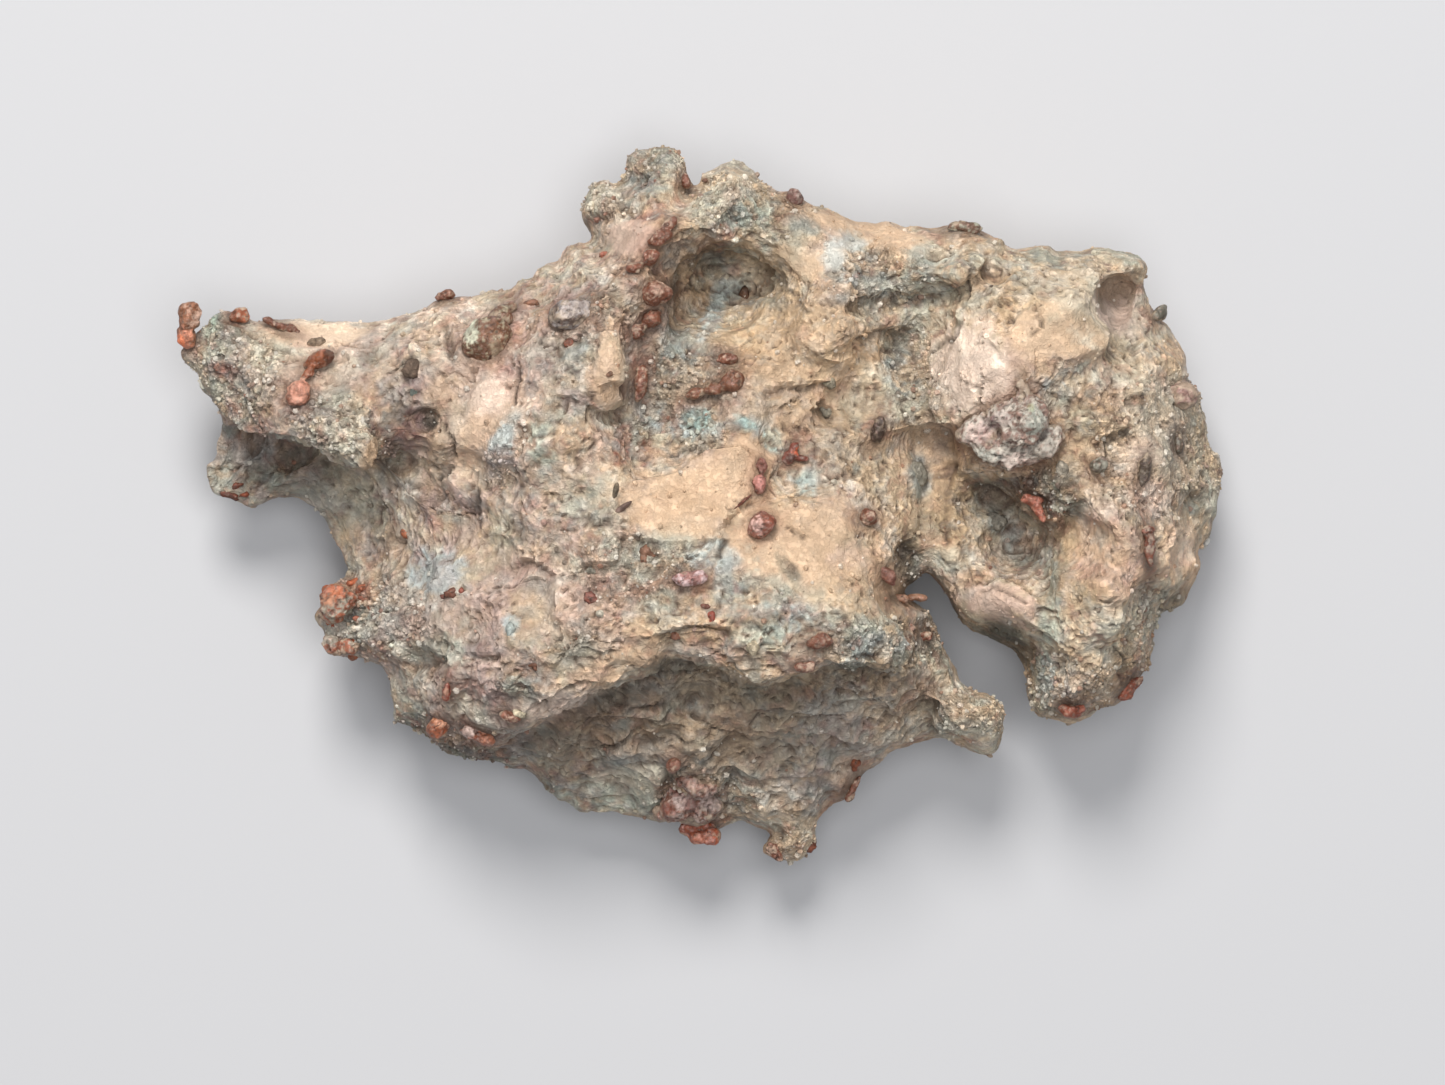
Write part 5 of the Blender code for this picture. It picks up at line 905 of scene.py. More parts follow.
class Relief:
    """The rock's show face and back as heights over x and y, the same as its solid's."""

    def __init__(self):
        self.front_sheet = thin_plate(FRONT_SPOTS)
        self.back_sheet = thin_plate(BACK_SPOTS)
        self.rim_sheet = thin_plate(RIM_SPOTS)
        self.outline = line_at(OUTLINE_PX)

    def inset(self, x, y):
        """Distance in from the outline."""
        return np.abs(nearest_on_line(self.outline + self.outline[:1], x, y)[0])

    def shoulder(self, inset, width):
        """How far the face has risen from the rim: a quarter round, then level."""
        return np.sqrt(1 - (1 - np.clip(inset / width, 0, 1)) ** 2)

    def lumps(self, x, y, seed):
        """Gentle waves of the whole face, from -1 to 1."""
        return octaves(np.column_stack([x, y]), LUMP_WAVELENGTH, seed, 3)

    def front(self, x, y):
        """Height of the show face: sheet, ledges, bosses and waves, drawn to the rim by the shoulder."""
        face = self.front_sheet(x, y) + ledges(LEDGES, x, y) + bosses(BOSSES, x, y)
        face += LUMP_HEIGHT * self.lumps(x, y, 3)
        edge = self.rim_sheet(x, y) + RIM_HALF_THICKNESS
        return edge + (face - edge) * self.shoulder(self.inset(x, y), FRONT_SHOULDER)

    def back(self, x, y):
        """Height of the back: sheet and waves, never below 0, drawn to the rim by the shoulder."""
        face = np.maximum(self.back_sheet(x, y) + BACK_LUMP_HEIGHT * self.lumps(x, y, 11), 0)
        edge = self.rim_sheet(x, y) - RIM_HALF_THICKNESS
        return edge + (face - edge) * self.shoulder(self.inset(x, y), BACK_SHOULDER)


def mesh_object(name, places, faces):
    """A new mesh object in the scene, with its places in its mesh."""
    mesh = bpy.data.meshes.new(name)
    mesh.from_pydata(places.tolist(), [], faces)
    made = bpy.data.objects.new(name, mesh)
    bpy.context.scene.collection.objects.link(made)
    return made


def applied(source):
    """A new mesh object from source as its modifiers leave it. The source is removed."""
    graph = bpy.context.evaluated_depsgraph_get()
    mesh = bpy.data.meshes.new_from_object(source.evaluated_get(graph))
    name = source.name
    bpy.data.objects.remove(source)
    made = bpy.data.objects.new(name, mesh)
    bpy.context.scene.collection.objects.link(made)
    return made


def evenly_skinned(obj, step):
    """The same solid in an even skin of small squares."""
    modifier = obj.modifiers.new("even skin", "REMESH")
    modifier.mode = "VOXEL"
    modifier.voxel_size = step
    return applied(obj)


def vertices(mesh):
    """Places of the vertices."""
    places = np.empty(len(mesh.vertices) * 3, dtype=np.float32)
    mesh.vertices.foreach_get("co", places)
    return places.reshape(-1, 3).astype(float)


def normals(mesh):
    """Outward directions at the vertices."""
    directions = np.empty(len(mesh.vertices) * 3, dtype=np.float32)
    mesh.vertex_normals.foreach_get("vector", directions)
    return directions.reshape(-1, 3).astype(float)


def set_vertices(mesh, places):
    """Moves the vertices to these places."""
    mesh.vertices.foreach_set("co", places.astype(np.float32).ravel())
    mesh.update()


def set_attribute(mesh, name, values):
    """A value or colour at each vertex, for the materials."""
    kind = "FLOAT" if values.ndim == 1 else "FLOAT_COLOR"
    attribute = mesh.attributes.new(name, kind, "POINT")
    if kind == "FLOAT":
        attribute.data.foreach_set("value", values.astype(np.float32))
    else:
        filled = np.column_stack([values, np.ones(len(values))])
        attribute.data.foreach_set("color", filled.astype(np.float32).ravel())


class Neighbours:
    """Averages over the vertices that share an edge."""

    def __init__(self, mesh):
        pairs = np.empty(len(mesh.edges) * 2, dtype=np.int32)
        mesh.edges.foreach_get("vertices", pairs)
        self.first, self.second = pairs.reshape(-1, 2).T
        self.count = len(mesh.vertices)
        self.shares = np.bincount(pairs, minlength=self.count)

    def mean(self, values):
        """The average of each vertex's neighbours."""
        if values.ndim > 1:
            return np.column_stack([self.mean(column) for column in values.T])
        total = np.bincount(self.first, values[self.second], self.count)
        total += np.bincount(self.second, values[self.first], self.count)
        return total / self.shares

    def smoothed(self, values, rounds):
        """Each value moved half way to its neighbours' average, this many times."""
        for _ in range(rounds):
            values = (values + self.mean(values)) / 2
        return values


def linear(colour):
    """A display colour from 0 to 255 as the light it stands for."""
    share = np.asarray(colour, dtype=float) / 255
    return np.where(share > 0.04045, ((share + 0.055) / 1.055) ** 2.4, share / 12.92)


def blended(colours, other, amount):
    """Colours moved by this share towards another colour."""
    return colours + (other - colours) * np.clip(amount, 0, 1)[:, None]


def laid_over(colours, paint, amount):
    """Colours with this share of a paint over them."""
    return blended(colours, linear(PAINTS[paint]), amount)


def rock_base(relief):
    """The outline as a slab, its top drawn up to the show face and its underside down to the back."""
    loop = np.array(relief.outline)
    count = len(loop)
    low = np.column_stack([loop, np.full(count, -RIM_HALF_THICKNESS)])
    high = np.column_stack([loop, np.full(count, RIM_HALF_THICKNESS)])
    sides = [(k, k + count, (k + 1) % count + count, (k + 1) % count) for k in range(count)]
    caps = [tuple(range(count)), tuple(range(2 * count - 1, count - 1, -1))]
    made = evenly_skinned(mesh_object("rock", np.concatenate([low, high]), sides + caps), CELL)
    places = vertices(made.data)
    x, y = places[:, 0], places[:, 1]
    level = np.clip(places[:, 2] / RIM_HALF_THICKNESS, -1, 1)
    front, back = relief.front(x, y), relief.back(x, y)
    places[:, 2] = back + (front - back) * (level + 1) / 2
    set_vertices(made.data, places)
    return evenly_skinned(made, CELL)


def thinned_back(obj, triangles):
    """Collapses the mesh to this many triangles, from its back and lower sides only."""
    group = obj.vertex_groups.new(name="back")
    facing = normals(obj.data)[:, 2]
    group.add(np.flatnonzero(facing < -0.15).tolist(), 1.0, "REPLACE")
    obj.modifiers.new("triangles", "TRIANGULATE")
    modifier = obj.modifiers.new("fewer faces", "DECIMATE")
    obj.data.calc_loop_triangles()
    modifier.ratio = min(1.0, triangles / len(obj.data.loop_triangles))
    modifier.vertex_group = "back"
    made = applied(obj)
    made.vertex_groups.clear()
    return made


def beside_copper(x, y):
    """How near each place is to the rim of a nugget: 0 on the nugget, in metres outside it."""
    nearest = np.full(len(x), 1.0)
    for blobs in [blobs for name, blobs in COPPER.items() if name not in GROWN_IN]:
        for px, py, half_length, half_width, turn, _ in blobs:
            off = from_ellipse(x, y, (px, py, half_length, half_width, turn), MM)
            nearest = np.minimum(nearest, (off - 0.95) * half_width * MM)
    return np.maximum(nearest, 0)


def crack_depth(x, y, places):
    """Depth of the cracks: each is a V along its wandering line, and shallower towards its ends."""
    wander = CRACK_WANDER * octaves(places, 2.2 * MM, 61, 2)
    depth = np.zeros(len(x))
    for half_width, deep, line_px in CRACKS:
        off, share = nearest_on_line(line_at(line_px), x, y)
        wide = (half_width + CRACK_EXTRA_HALF_WIDTH) * MM
        slope = np.clip(1 - np.abs(off + wander) / wide, 0, 1)
        depth = np.maximum(depth, deep * MM * fading_ends(share, 0.15) * slope)
    return depth


def rock_detail(places, facing, relief):
    """What stands on the rock's smooth form, and marks for the paint.

    The rise of each place is a sum of chips, grain, folds, crevices and flakes, each with a width
    and depth of its own. It is calmer at the rim and in the smooth zones. Small ledges, bosses,
    cracks and the grooves round the nuggets are there only where the surface faces up.
    """
    x, y = places[:, 0], places[:, 1]
    smooth, crust = zone(SMOOTH_PX, x, y, 201), zone(CRUST_PX, x, y, 211)
    flaky, fair = zone(FLAKY_PX, x, y, 221), zone(FAIR_PX, x, y, 231)
    calm = 0.5 + 0.5 * smooth_step(relief.inset(x, y) / CALM_RIM)
    rough = calm * (1 - 0.85 * smooth) * (1 - 0.45 * fair * (1 - smooth)) * (0.75 + 0.25 * crust)

    large, large_tag = chips(places, LARGE_CHIP, 21, 1.25)
    bent = places + 0.5 * MM * noise(places, 3 * MM, 5)[:, None]
    middle, middle_tag = chips(bent, MIDDLE_CHIP, 31)
    small, small_tag = chips(places, SMALL_CHIP, 41, 0.6)
    rise = LARGE_CHIP_DEPTH * calm * (1 - 0.4 * smooth) * (large - 0.1)
    rise += MIDDLE_CHIP_DEPTH * rough * (middle - 0.1)
    rise += SMALL_CHIP_DEPTH * rough * (0.3 + 0.7 * crust) * (0.15 - small)
    rise += GRAIN_DEPTH * (rough + 0.25 * smooth) * octaves(places, GRAIN, 51, 2)

    bent = places * (1, 1.5, 1) + 1.2 * MM * noise(places, 4 * MM, 53)[:, None]
    fold = np.abs(octaves(bent, FOLD, 55, 3, 0.65))
    rise -= FOLD_DEPTH * (rough + 0.1 * smooth) * np.clip(1 - fold / 0.3, 0, 1)
    wrinkle = np.abs(octaves(places * (1, 1.7, 1), CREVICE, 71, 3))
    crevice = np.clip(1 - wrinkle / 0.085, 0, 1) * (1 - 0.9 * smooth) * calm
    rise -= CREVICE_DEPTH * crevice
    phase = (y - 0.34 * x) / FLAKE + 1.6 * octaves(places, 7 * MM, 81, 3)
    saw = phase - np.floor(phase)
    step = np.where(saw < 0.2, saw / 0.2, (1 - saw) / 0.8)
    rise += FLAKE_DEPTH * flaky * calm * (step - 0.5)

    crack = crack_depth(x, y, places)
    upward = smooth_step((facing[:, 2] + 0.1) / 0.5)
    drop = (ledges(SMALL_LEDGES, x, y) + bosses(SMALL_BOSSES, x, y)) * upward * calm
    near = beside_copper(x, y)
    away = smooth_step(near / (1.1 * MM))
    groove = GROOVE_DEPTH * np.exp(-((near - 0.15 * MM) / (0.25 * MM)) ** 2) * upward
    rise = (rise - crack * upward) * (0.25 + 0.75 * away) + drop * away - groove
    marks = {
        "fold": np.clip(1 - fold / 0.16, 0, 1), "smooth": np.maximum(smooth, 0.5 * fair), "crust": crust,
        "flaky": flaky, "crevice": crevice, "crack": crack / (0.8 * MM), "large": large_tag,
        "middle": middle_tag, "small": small_tag, "near": near, "step": step,
    }
    return rise, marks


def rock_paint(places, marks, hollow, wide_hollow):
    """The colour of each place on the rock, laid up from the paints in turn, with painted shade in its
    recesses and painted highlights on its crests.
    """
    x, y = places[:, 0], places[:, 1]
    drift = octaves(places, 9 * MM, 101, 4)
    fine = octaves(places, 2.6 * MM, 111, 4, 0.7)
    ragged = 0.34 * fine + 0.2 * octaves(places, 6 * MM, 121, 2)
    colours = np.tile(linear(PAINTS[GROUND_PAINT]), (len(x), 1))
    colours = laid_over(colours, "mauve", 0.55 * smooth_step(drift * 1.6 + 0.3))
    colours = laid_over(colours, "grey_green", 0.55 * smooth_step(0.4 - drift * 1.8))
    for paint, *spot, strength in BLOTCHES:
        off = from_ellipse(x, y, spot, METRES_PER_PX)
        colours = laid_over(colours, paint, strength * smooth_step((1.3 + ragged - off) / 0.6))

    rough = 1 - 0.8 * marks["smooth"]
    spots = octaves(places, 1.7 * MM, 131, 3, 0.75)
    others = octaves(places, 2.4 * MM, 141, 3, 0.75)
    veils = octaves(places, 4.4 * MM, 151, 4, 0.7)
    left = smooth_step((at(640, 0)[0] - x) / (24 * MM) + 0.5)
    for paint, strength, where in [
        ("mauve", 0.45 * left, veils * 2.4 - 0.2), ("buff", 0.5 * (1 - left), veils * 2.4 + 0.1),
        ("pale_green", 0.3, -veils * 2.4 - 0.3), ("tan", 0.5, spots * 2 - 0.4),
        ("white", 0.3, others * 2 - 0.6), ("slate", 0.45, -spots * 2 - 0.55),
        # The dark mauve over the fold creases is painted shade; the other paints here are the stone's own
        # mottling
        ("red", 0.4, -others * 2.2 - 1.05), ("dark_mauve", 0.55 * marks["fold"], 0.9 + fine),
    ]:
        colours = laid_over(colours, paint, strength * rough * smooth_step(where))

    tone = 1 + (0.12 * marks["middle"] + 0.13 * marks["small"]) * rough + 0.09 * marks["large"]
    tone *= 1 + 0.1 * fine
    # Painted shade at the foot of each flake's step
    tone *= 1 - 0.25 * marks["flaky"] * np.clip(1 - marks["step"] / 0.35, 0, 1)
    # The tone varies at random; the brown laid in the crevices is painted shade
    colours = laid_over(colours * tone[:, None], "brown", 0.75 * marks["crevice"] * rough)
    # Painted shade in the cracks
    colours = laid_over(colours, "painted_shade", np.clip(marks["crack"], 0, 0.8))
    # Painted shade in small and wide hollows
    colours = laid_over(colours, "painted_shade", 0.4 * smooth_step(hollow / (0.18 * MM) - 0.4))
    colours = laid_over(colours, "brown", 0.4 * smooth_step(wide_hollow / (0.5 * MM) - 0.3))
    # Painted highlight: lighter on convex places and ridges
    colours *= (1 + 0.12 * smooth_step(-hollow / (0.12 * MM) - 0.2))[:, None]
    # A rust stain round each nugget, and a thin ring of painted shade where the nugget meets the rock
    for paint, strength, reach in [("rust", 0.35, 1.1 * MM), ("painted_shade", 0.4, 0.35 * MM)]:
        colours = laid_over(colours, paint, strength * np.exp(-(marks["near"] / reach) ** 2))
    # Painted shadow on the low side of each of these ledges, just under its edge
    for name, strength in PAINTED_SHADOW_UNDER_LEDGES.items():
        off, share = nearest_on_line(line_at(LEDGES[name][3]), x, y)
        under = smooth_step((off + 0.4 * MM * fine) / (0.8 * MM)) * np.exp(-np.maximum(off, 0) / (3.5 * MM))
        colours = laid_over(colours, "painted_shade", strength * under * fading_ends(share, 0.1))
    # Painted shade over the deep places
    for *spot, strength in PAINTED_SHADE_PX:
        off = from_ellipse(x, y, spot, METRES_PER_PX)
        colours = laid_over(colours, "painted_shade", strength * smooth_step((1.3 + ragged - off) / 0.7))
    return np.clip(colours, 0.005, 0.95)


def rock_piece(relief):
    """The whole rock as one closed skin: its base, moved along its normals by the detail, and painted.

    With it come how crusted each place is and the colours, for the crumbs.
    """
    made = thinned_back(rock_base(relief), ROCK_TRIANGLES)
    mesh = made.data
    places, facing = vertices(mesh), normals(mesh)
    rise, marks = rock_detail(places, facing, relief)
    around = Neighbours(mesh)
    moved = places + rise[:, None] * around.smoothed(facing, 4)
    moved[:, 2] = np.maximum(moved[:, 2], 0)
    set_vertices(mesh, moved)
    hollow = ((around.smoothed(moved, 2) - moved) * facing).sum(1)
    wide_hollow = ((around.smoothed(moved, 14) - moved) * facing).sum(1)
    colours = rock_paint(moved, marks, hollow, wide_hollow)
    set_attribute(mesh, "paint", colours)
    set_attribute(mesh, "grainy", np.clip(0.45 + 0.55 * marks["crust"] - 0.4 * marks["smooth"], 0, 1))
    return made, marks["crust"] * (1 - 0.9 * marks["smooth"]), colours


def ball(rows, columns):
    """A round ball as places and faces: rings from pole to pole."""
    angle = np.linspace(0, math.pi, rows + 1)[1:-1]
    turn = np.arange(columns) * 2 * math.pi / columns
    rings = np.stack([np.outer(np.sin(angle), np.cos(turn)), np.outer(np.sin(angle), np.sin(turn)),
                      np.outer(np.cos(angle), np.ones(columns))], -1).reshape(-1, 3)
    places = np.concatenate([rings, [(0, 0, 1), (0, 0, -1)]])
    top, bottom = len(rings), len(rings) + 1
    this = np.arange(columns)
    following = (this + 1) % columns
    last = (rows - 2) * columns
    row = columns * np.arange(rows - 2)[:, None]
    faces = [np.stack([np.full(columns, top), this, following], -1),
             np.stack([np.full(columns, bottom), last + following, last + this], -1),
             np.stack([row + this, row + columns + this, row + columns + following], -1).reshape(-1, 3),
             np.stack([row + this, row + columns + following, row + following], -1).reshape(-1, 3)]
    return places, np.concatenate(faces)


def many(places, faces, middles, frames):
    """Copies of one ball as a single list of places and faces, each in a frame of its own."""
    moved = np.einsum("nij,kj->nki", frames, places) + middles[:, None]
    shifted = faces + len(places) * np.arange(len(middles))[:, None, None]
    return moved, shifted.reshape(-1, 3)


def turned_flat(places, turn):
    """Places turned about the vertical axis by this many degrees."""
    c, s = math.cos(math.radians(turn)), math.sin(math.radians(turn))
    x, y, z = places.T
    return np.column_stack([x * c - y * s, x * s + y * c, z])


def random_turns(rng, count):
    """Rotation matrices with no preferred direction."""
    random = rng.normal(size=(4, count))
    w, x, y, z = random / np.linalg.norm(random, axis=0)
    rows = [(1 - 2 * (y * y + z * z), 2 * (x * y - w * z), 2 * (x * z + w * y)),
            (2 * (x * y + w * z), 1 - 2 * (x * x + z * z), 2 * (y * z - w * x)),
            (2 * (x * z - w * y), 2 * (y * z + w * x), 1 - 2 * (x * x + y * y))]
    return np.array(rows).transpose(2, 0, 1)


def crumbs(rock, crust, colours, rng):
    """Grains of the rock's own stone on its crusted places, as one piece.

    Each is a small ball with its corners moved at random, half sunk where the surface faces up.
    """
    places, facing = vertices(rock.data), normals(rock.data)
    clear = beside_copper(places[:, 0], places[:, 1]) > 0.3 * MM
    chance = np.clip(facing[:, 2] + 0.3, 0, 1) * (0.1 + crust) * clear
    chosen = rng.choice(len(places), CRUMB_COUNT, replace=False, p=chance / chance.sum())
    half = (0.14 + 0.3 * rng.random(CRUMB_COUNT) ** 3) * MM
    turns = random_turns(rng, CRUMB_COUNT)
    frames = turns * (half[:, None] * rng.uniform(0.7, 1.3, (CRUMB_COUNT, 3)))[:, None]
    round_places, round_faces = ball(4, 6)
    middles = places[chosen] + 0.3 * half[:, None] * facing[chosen]
    moved, faces = many(round_places, round_faces, middles, frames)
    moved += rng.uniform(-0.22, 0.22, moved.shape) * half[:, None, None]
    made = mesh_object("crumbs", moved.reshape(-1, 3), faces.tolist())
    tone = rng.uniform(0.7, 1.25, (CRUMB_COUNT, 1))
    shades = laid_over(colours[chosen] * tone, "white", 0.5 * (rng.random(CRUMB_COUNT) > 0.8))
    shades = laid_over(shades, "rust", 0.5 * (rng.random(CRUMB_COUNT) > 0.96))
    set_attribute(made.data, "paint", np.repeat(shades, len(round_places), 0))
    set_attribute(made.data, "grainy", np.full(len(made.data.vertices), 0.2))
    return made


def small_bits(name, table, rock, ragged):
    """Specks and pebbles too small for nodes of their own, as one piece.

    Each is a ball over its turned ellipse, made uneven by noise and seated on the rock.
    """
    surface = vertices(rock.data)[normals(rock.data)[:, 2] > 0.1]
    round_places, round_faces = ball(12, 16)
    grown, faces, shades = [], [], []
    for px, py, half_x, half_y, turn, colour in table:
        x, y = at(px, py)
        seat = surface[np.hypot(surface[:, 0] - x, surface[:, 1] - y).argmin(), 2]
        half = np.array([half_x, half_y, 0.4 * (half_x + half_y)]) * METRES_PER_PX
        turned = turned_flat(round_places * half, turn)
        turned *= 1 + ragged * octaves(turned + (x, y, 0), 0.8 * MM, 301, 3)[:, None]
        faces.append(round_faces + len(grown) * len(round_places))
        grown.append(turned + (x, y, seat - 0.2 * half[2]))
        tone = 1 + 0.5 * octaves(grown[-1], 0.5 * MM, 311, 3)[:, None]
        # Painted shade: each bit darker towards its base, where it meets the rock
        tone *= 0.6 + 0.4 * smooth_step((turned[:, 2] / half[2] + 0.4)[:, None])
        shades.append(linear(colour) * tone)
    made = mesh_object(name, np.concatenate(grown), np.concatenate(faces).tolist())
    set_attribute(made.data, "paint", np.clip(np.concatenate(shades), 0.004, 0.95))
    for name in ("metal", "grainy"):
        set_attribute(made.data, name, np.full(len(made.data.vertices), 0.5))
    made.data.shade_smooth()
    return made


def copper_paint(places, hollow, raised, name, seed):
    """The colour of each place on a nugget, with a painted highlight on its crests, and its share of bare
    metal.
    """
    fresh, coat, dark = WEATHERING.get(name, COMMON_WEATHERING)
    skin_colour, mineral_colour = SKINS.get(name, COMMON_SKIN)
    broad = octaves(places, 2.4 * MM, seed, 3, 0.6)
    fine = octaves(places, 0.8 * MM, seed + 9, 3, 0.7)
    speckle = octaves(places, 0.55 * MM, seed + 15, 2, 0.8)
    bare = smooth_step((broad + 0.5 * fine + fresh * 2 - 0.9) * 1.6)
    coated = smooth_step((-broad + 0.9 * fine + coat * 2 - 1.0) * 2)
    shaded = smooth_step((0.7 * fine - 0.4 * broad + dark * 2 - 1.3) * 2)
    speckled = smooth_step(speckle * 2.2 - 0.6 + 0.8 * coat)
    pit = smooth_step(hollow / (0.06 * MM) - 0.1)
    # Painted highlight on convex places, broken up by the speckle
    crest = smooth_step(-hollow / (0.05 * MM) - 0.2) * smooth_step(0.5 - speckle * 2)
    crusted = smooth_step((0.45 + 0.8 * broad + 0.5 * fine - raised) / 0.3)
    uneven = (1 + 0.3 * fine)[:, None]
    mineral = linear(mineral_colour) * uneven
    skin = linear(skin_colour) * (1 + 0.45 * bare)[:, None]
    for colour, amount in [
        (linear(DARK_SKIN), 0.75 * shaded), (mineral, 0.85 * coated), (mineral, 0.6 * speckled),
        (linear(PIT_COLOUR), 0.7 * pit), (linear(CREST_HIGHLIGHT), 0.35 * crest),
        (linear(ROCK_CRUST) * (1 + 0.35 * fine)[:, None], 0.8 * crusted),
    ]:
        skin = blended(skin, colour, amount)
    for *spot, colour, strength in COPPER_PATCHES.get(name, []):
        off = from_ellipse(places[:, 0], places[:, 1], spot, METRES_PER_PX)
        amount = strength * smooth_step((1.2 + 0.5 * fine - off) / 0.5) * (1 - 0.7 * pit) * (1 - 0.5 * shaded)
        skin = blended(skin, linear(colour) * uneven, amount)
    metal = np.clip(0.75 - 0.6 * coated - 0.3 * pit - 0.6 * crusted, 0.05, 1)
    return np.clip(skin, 0.004, 0.95), metal


def nugget(name, blobs, relief, rng):
    """Blobs grown together in one skin, pitted and weathered.

    Each blob is a ball stretched to its half sizes. The joined skin then moves along its normals
    by lumps, dents and pits, which are deeper on the rougher nuggets.
    """
    spots = np.array([at(px, py) for px, py, *_ in blobs])
    heights = relief.front(spots[:, 0], spots[:, 1])
    seats = heights.mean() + FOLLOWS_SURFACE * (heights - heights.mean())
    round_places, round_faces = ball(14, 20)
    grown, faces = [], []
    for (px, py, half_length, half_width, turn, lift), seat in zip(blobs, seats):
        stretched = round_places * (half_length, half_width, half_width) * MM
        faces.append(round_faces + len(grown) * len(round_places))
        grown.append(turned_flat(stretched, turn) + (*at(px, py), seat + lift * MM))
    joined = mesh_object(name, np.concatenate(grown), np.concatenate(faces).tolist())
    widest = max(half_length for _, _, half_length, *_ in blobs)
    made = evenly_skinned(joined, WIDE_NUGGET_CELL if widest > WIDE_NUGGET else NUGGET_CELL)
    mesh = made.data
    places, facing = vertices(mesh), normals(mesh)
    seed = int(rng.integers(1000, 9000))
    rough = SKIN_ROUGHNESS.get(name, 1.0)
    craggy, _ = chips(places, (3.2 if rough > 1.5 else 1.9) * MM, seed + 70, 1.2)
    dented, _ = chips(places, DENT_ON_NUGGET, seed, 0.9)
    pitted, _ = chips(places, PIT_ON_NUGGET, seed + 50, 0.5)
    rise = (0.22 + 0.14 * rough) * MM * octaves(places, LUMP_ON_NUGGET, seed + 7, 3)
    rise += max(0.35, 0.55 * rough - 0.4) * MM * (craggy - 0.1)
    rise += rough * 0.12 * MM * (dented - 0.15) + rough * 0.08 * MM * (0.1 - pitted)
    rise += rough * 0.06 * MM * octaves(places, 0.6 * MM, seed + 5, 1)
    rise -= rough * 0.16 * MM * smooth_step(octaves(places, 1.1 * MM, seed + 3, 2) * 2.5 - 0.8)
    around = Neighbours(mesh)
    moved = places + rise[:, None] * around.smoothed(facing, 3)
    set_vertices(mesh, moved)
    hollow = ((around.smoothed(moved, 3) - moved) * facing).sum(1)
    off = np.hypot(moved[:, 0, None] - spots[:, 0], moved[:, 1, None] - spots[:, 1])
    highest = max(half_width for _, _, _, half_width, *_ in blobs) * MM
    raised = (moved[:, 2] - seats[off.argmin(1)]) / highest
    colours, metal = copper_paint(moved, hollow, raised, name, seed + 20)
    set_attribute(mesh, "paint", colours)
    set_attribute(mesh, "metal", metal)
    mesh.shade_smooth()
    return made


class Number:
    """A number inside a material. Ordinary arithmetic on it adds maths nodes."""

    def __init__(self, finish, socket):
        self.finish = finish
        self.socket = socket

    def maths(self, operation, first, second=0.0):
        """The result of one maths node."""
        made = self.finish.node("ShaderNodeMath", {"operation": operation}, {0: first, 1: second})
        return Number(self.finish, made.outputs[0])

    def __add__(self, other):
        return self.maths("ADD", self, other)

    def __sub__(self, other):
        return self.maths("SUBTRACT", self, other)

    def __rsub__(self, other):
        return self.maths("SUBTRACT", other, self)

    def __mul__(self, other):
        return self.maths("MULTIPLY", self, other)

    __radd__ = __add__
    __rmul__ = __mul__

    def ramp(self, low, high):
        """0 at low, 1 at high and an S curve between."""
        inputs = {"Value": self, "From Min": low, "From Max": high}
        made = self.finish.node("ShaderNodeMapRange", {"interpolation_type": "SMOOTHSTEP"}, inputs)
        return Number(self.finish, made.outputs["Result"])


class Finish:
    """A material in the making."""

    def __init__(self, name):
        self.material = bpy.data.materials.new(name)
        self.material.use_nodes = True
        self.tree = self.material.node_tree
        self.shader = self.tree.nodes["Principled BSDF"]
        self.where = self.node("ShaderNodeTexCoord").outputs["Object"]

    def join(self, value, socket):
        """Links a number or colour of another node to a socket, or sets the socket to a plain value."""
        if isinstance(value, Number):
            value = value.socket
        if isinstance(value, bpy.types.NodeSocket):
            self.tree.links.new(value, socket)
        else:
            socket.default_value = value

    def node(self, kind, settings=None, inputs=None):
        """One node of any kind with its settings and inputs."""
        made = self.tree.nodes.new(kind)
        for name, value in (settings or {}).items():
            setattr(made, name, value)
        for name, value in (inputs or {}).items():
            self.join(value, made.inputs[name])
        return made

    def noise(self, wavelength, detail=3.0, roughness=0.6):
        """Noise through the material, about 0.5 on average."""
        inputs = {"Vector": self.where, "Scale": 1 / wavelength, "Detail": detail, "Roughness": roughness}
        return Number(self, self.node("ShaderNodeTexNoise", None, inputs).outputs["Fac"])

    def cells(self, wavelength, output="Distance"):
        """Cells through the material: the distance to each one's middle, or its own colour."""
        inputs = {"Vector": self.where, "Scale": 1 / wavelength}
        return self.node("ShaderNodeTexVoronoi", None, inputs).outputs[output]

    def attribute(self, name, output="Fac"):
        """A value or colour that the mesh keeps at its vertices."""
        return self.node("ShaderNodeAttribute", {"attribute_name": name}).outputs[output]

    def scaled(self, colour, share):
        """A colour made lighter or darker."""
        inputs = {0: colour, "Scale": share}
        return self.node("ShaderNodeVectorMath", {"operation": "SCALE"}, inputs).outputs[0]

    def mixed(self, share, first, second):
        """The first colour with this share of the second over it."""
        inputs = {"Factor": share, 6: first, 7: second}
        return self.node("ShaderNodeMix", {"data_type": "RGBA"}, inputs).outputs[2]

    def set(self, **inputs):
        """Sets the shader's own sockets by their names in small letters."""
        for name, value in inputs.items():
            self.join(value, self.shader.inputs[name.replace("_", " ").title().replace("Ior", "IOR")])

    def bump(self, height, distance, strength=1.0):
        """Makes the surface look uneven by this height times the distance."""
        inputs = {"Height": height, "Distance": distance, "Strength": strength}
        made = self.node("ShaderNodeBump", None, inputs)
        self.join(made.outputs["Normal"], self.shader.inputs["Normal"])


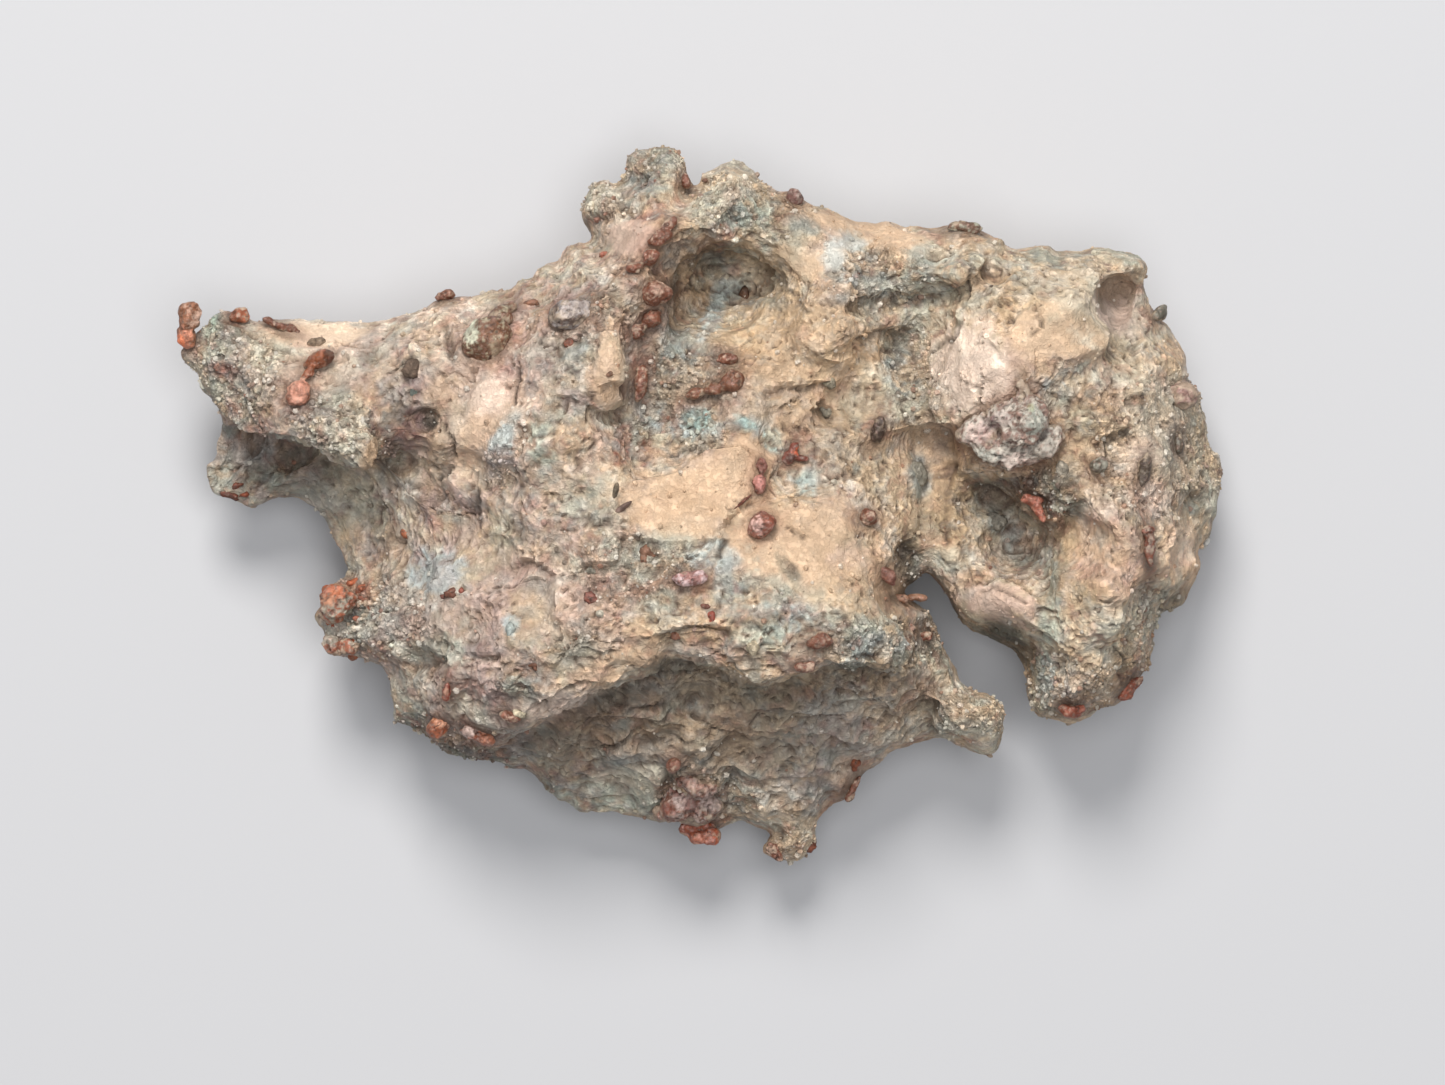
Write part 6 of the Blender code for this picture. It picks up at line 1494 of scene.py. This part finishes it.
def rock_finish():
    """Broken rock: painted in patches, with grain, specks and a rough skin."""
    finish = Finish("broken rock")
    grainy = Number(finish, finish.attribute("grainy"))
    paint = finish.attribute("paint", "Color")
    grain = finish.noise(0.7 * MM, 5.0, 0.7)
    speck = Number(finish, finish.cells(0.42 * MM, "Color"))
    broad = finish.noise(2.2 * MM, 4.0, 0.65)
    shade = 1 + (grain - 0.5) * (0.3 + 1.0 * grainy) + (speck - 0.5) * (grainy * 0.4) + (broad - 0.5) * 0.35
    colour = finish.scaled(paint, shade)
    dark = finish.noise(0.5 * MM, 2.0, 0.5).ramp(0.64, 0.74) * grainy
    colour = finish.mixed(dark * 0.22, colour, DARK_GRAIN)
    bright = finish.noise(0.62 * MM, 2.0, 0.5).ramp(0.66, 0.76) * (grainy + 0.2)
    colour = finish.mixed(bright * 0.4, colour, BRIGHT_GRAIN)
    finish.set(base_color=colour, roughness=0.62 + (grain - 0.5) * 0.5, specular_ior_level=0.35)
    fold = finish.noise(1.5 * MM, 5.0, 0.7) - 0.5
    crease = fold.maths("ABSOLUTE", fold)
    height = grain * 0.6 + broad * 0.4 + crease.ramp(0.0, 0.08) * 0.4
    height = (height + Number(finish, finish.cells(0.5 * MM)) * (grainy * 0.6)) * (0.6 + 0.8 * grainy)
    finish.bump(height, 0.32 * MM, 1.0)
    return finish.material


def copper_finish():
    """Weathered native copper: brown skin, warm where it is worn, pale where minerals cling."""
    finish = Finish("weathered copper")
    metal = Number(finish, finish.attribute("metal"))
    paint = finish.attribute("paint", "Color")
    grain = finish.noise(0.5 * MM, 4.0, 0.65)
    shade = 0.55 + grain * 0.9
    colour = finish.scaled(paint, shade)
    crust = finish.noise(0.45 * MM, 3.0, 0.6).ramp(0.56, 0.64)
    colour = finish.mixed(crust * 0.35, colour, CLINGING_MINERAL)
    stain = finish.noise(0.8 * MM, 3.0, 0.6).ramp(0.56, 0.68)
    colour = finish.mixed(stain * 0.6, colour, DARK_STAIN)
    finish.set(base_color=colour, metallic=metal * 0.2, specular_ior_level=0.5,
               roughness=0.36 + (1 - metal) * 0.3 + crust * 0.2 + (grain - 0.5) * 0.3)
    finish.bump(grain + finish.noise(1.1 * MM) * 0.7 + crust * 0.4, 0.16 * MM, 1.0)
    return finish.material


def plain_finish(name, colour, roughness):
    """A material of one colour."""
    finish = Finish(name)
    finish.set(base_color=(*colour, 1), roughness=roughness)
    return finish.material


def aimed(obj, place, target):
    """An object put in place and turned to face the target."""
    obj.location = place
    obj.rotation_euler = (Vector(target) - Vector(place)).to_track_quat("-Z", "Y").to_euler()
    bpy.context.scene.collection.objects.link(obj)
    return obj


def lamp(name, place, size, power, colour):
    """A round lamp of this width, aimed at the specimen."""
    data = bpy.data.lights.new(name, "AREA")
    data.shape = "DISK"
    data.size = size
    data.energy = power
    data.color = colour
    return aimed(bpy.data.objects.new(name, data), place, (0, 0, 0.02))


def studio():
    """A pale floor, a broad lamp from the specimen's top, and a weak surround."""
    corners = np.array([(-1.5, -1.5, 0), (1.5, -1.5, 0), (1.5, 1.5, 0), (-1.5, 1.5, 0)]) - (0, 0, 0.0001)
    floor = mesh_object("floor", corners, [(0, 1, 2, 3)])
    floor.data.materials.append(plain_finish("pale floor", (0.5, 0.5, 0.51), 0.6))
    lamp("key lamp", (-0.12, 0.75, 1.05), 0.5, 15.5, (1.0, 0.98, 0.955))
    lamp("overhead lamp", (0.1, -0.05, 1.5), 0.9, 11.5, (0.97, 0.98, 1.0))
    world = bpy.data.worlds.new("surround")
    world.use_nodes = True
    world.node_tree.nodes["Background"].inputs["Color"].default_value = (0.86, 0.88, 0.92, 1)
    world.node_tree.nodes["Background"].inputs["Strength"].default_value = 0.28
    bpy.context.scene.world = world
    bpy.context.scene.view_settings.view_transform = "Standard"


def camera():
    """Straight above the specimen, with the show face's top up, framed as the picture is."""
    data = bpy.data.cameras.new("camera")
    data.lens = 200
    data.sensor_width = 36
    data.clip_end = 10
    made = bpy.data.objects.new("camera", data)
    x, y = at(*PICTURE_CENTRE_PX)
    width = PICTURE_SIZE[0] * METRES_PER_PX
    made.location = (x, y, 0.018 + width * data.lens / data.sensor_width)
    bpy.context.scene.collection.objects.link(made)
    bpy.context.scene.camera = made


def main():
    """Builds the specimen, its stage and the camera."""
    rng = np.random.default_rng(7)
    relief = Relief()
    rock, crust, colours = rock_piece(relief)
    stone, copper = rock_finish(), copper_finish()
    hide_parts("rock_matrix")
    loose = [(rock, stone, "rock"), (crumbs(rock, crust, colours, rng), stone, "rock"),
             (small_bits("pebbles", PEBBLES, rock, 0.3), stone, "rock"),
             (small_bits("copper_specks", COPPER_SPECKS, rock, 0.5), copper, "copper")]
    for made, finish, slot in loose:
        made.data.materials.append(finish)
        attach(made, "root")
    for name, blobs in COPPER.items():
        made = nugget(name, blobs, relief, rng)
        made.name = "grown_" + name
        made.data.materials.append(copper)
        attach(made, "root")
        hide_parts(name)
    studio()
    camera()


main()
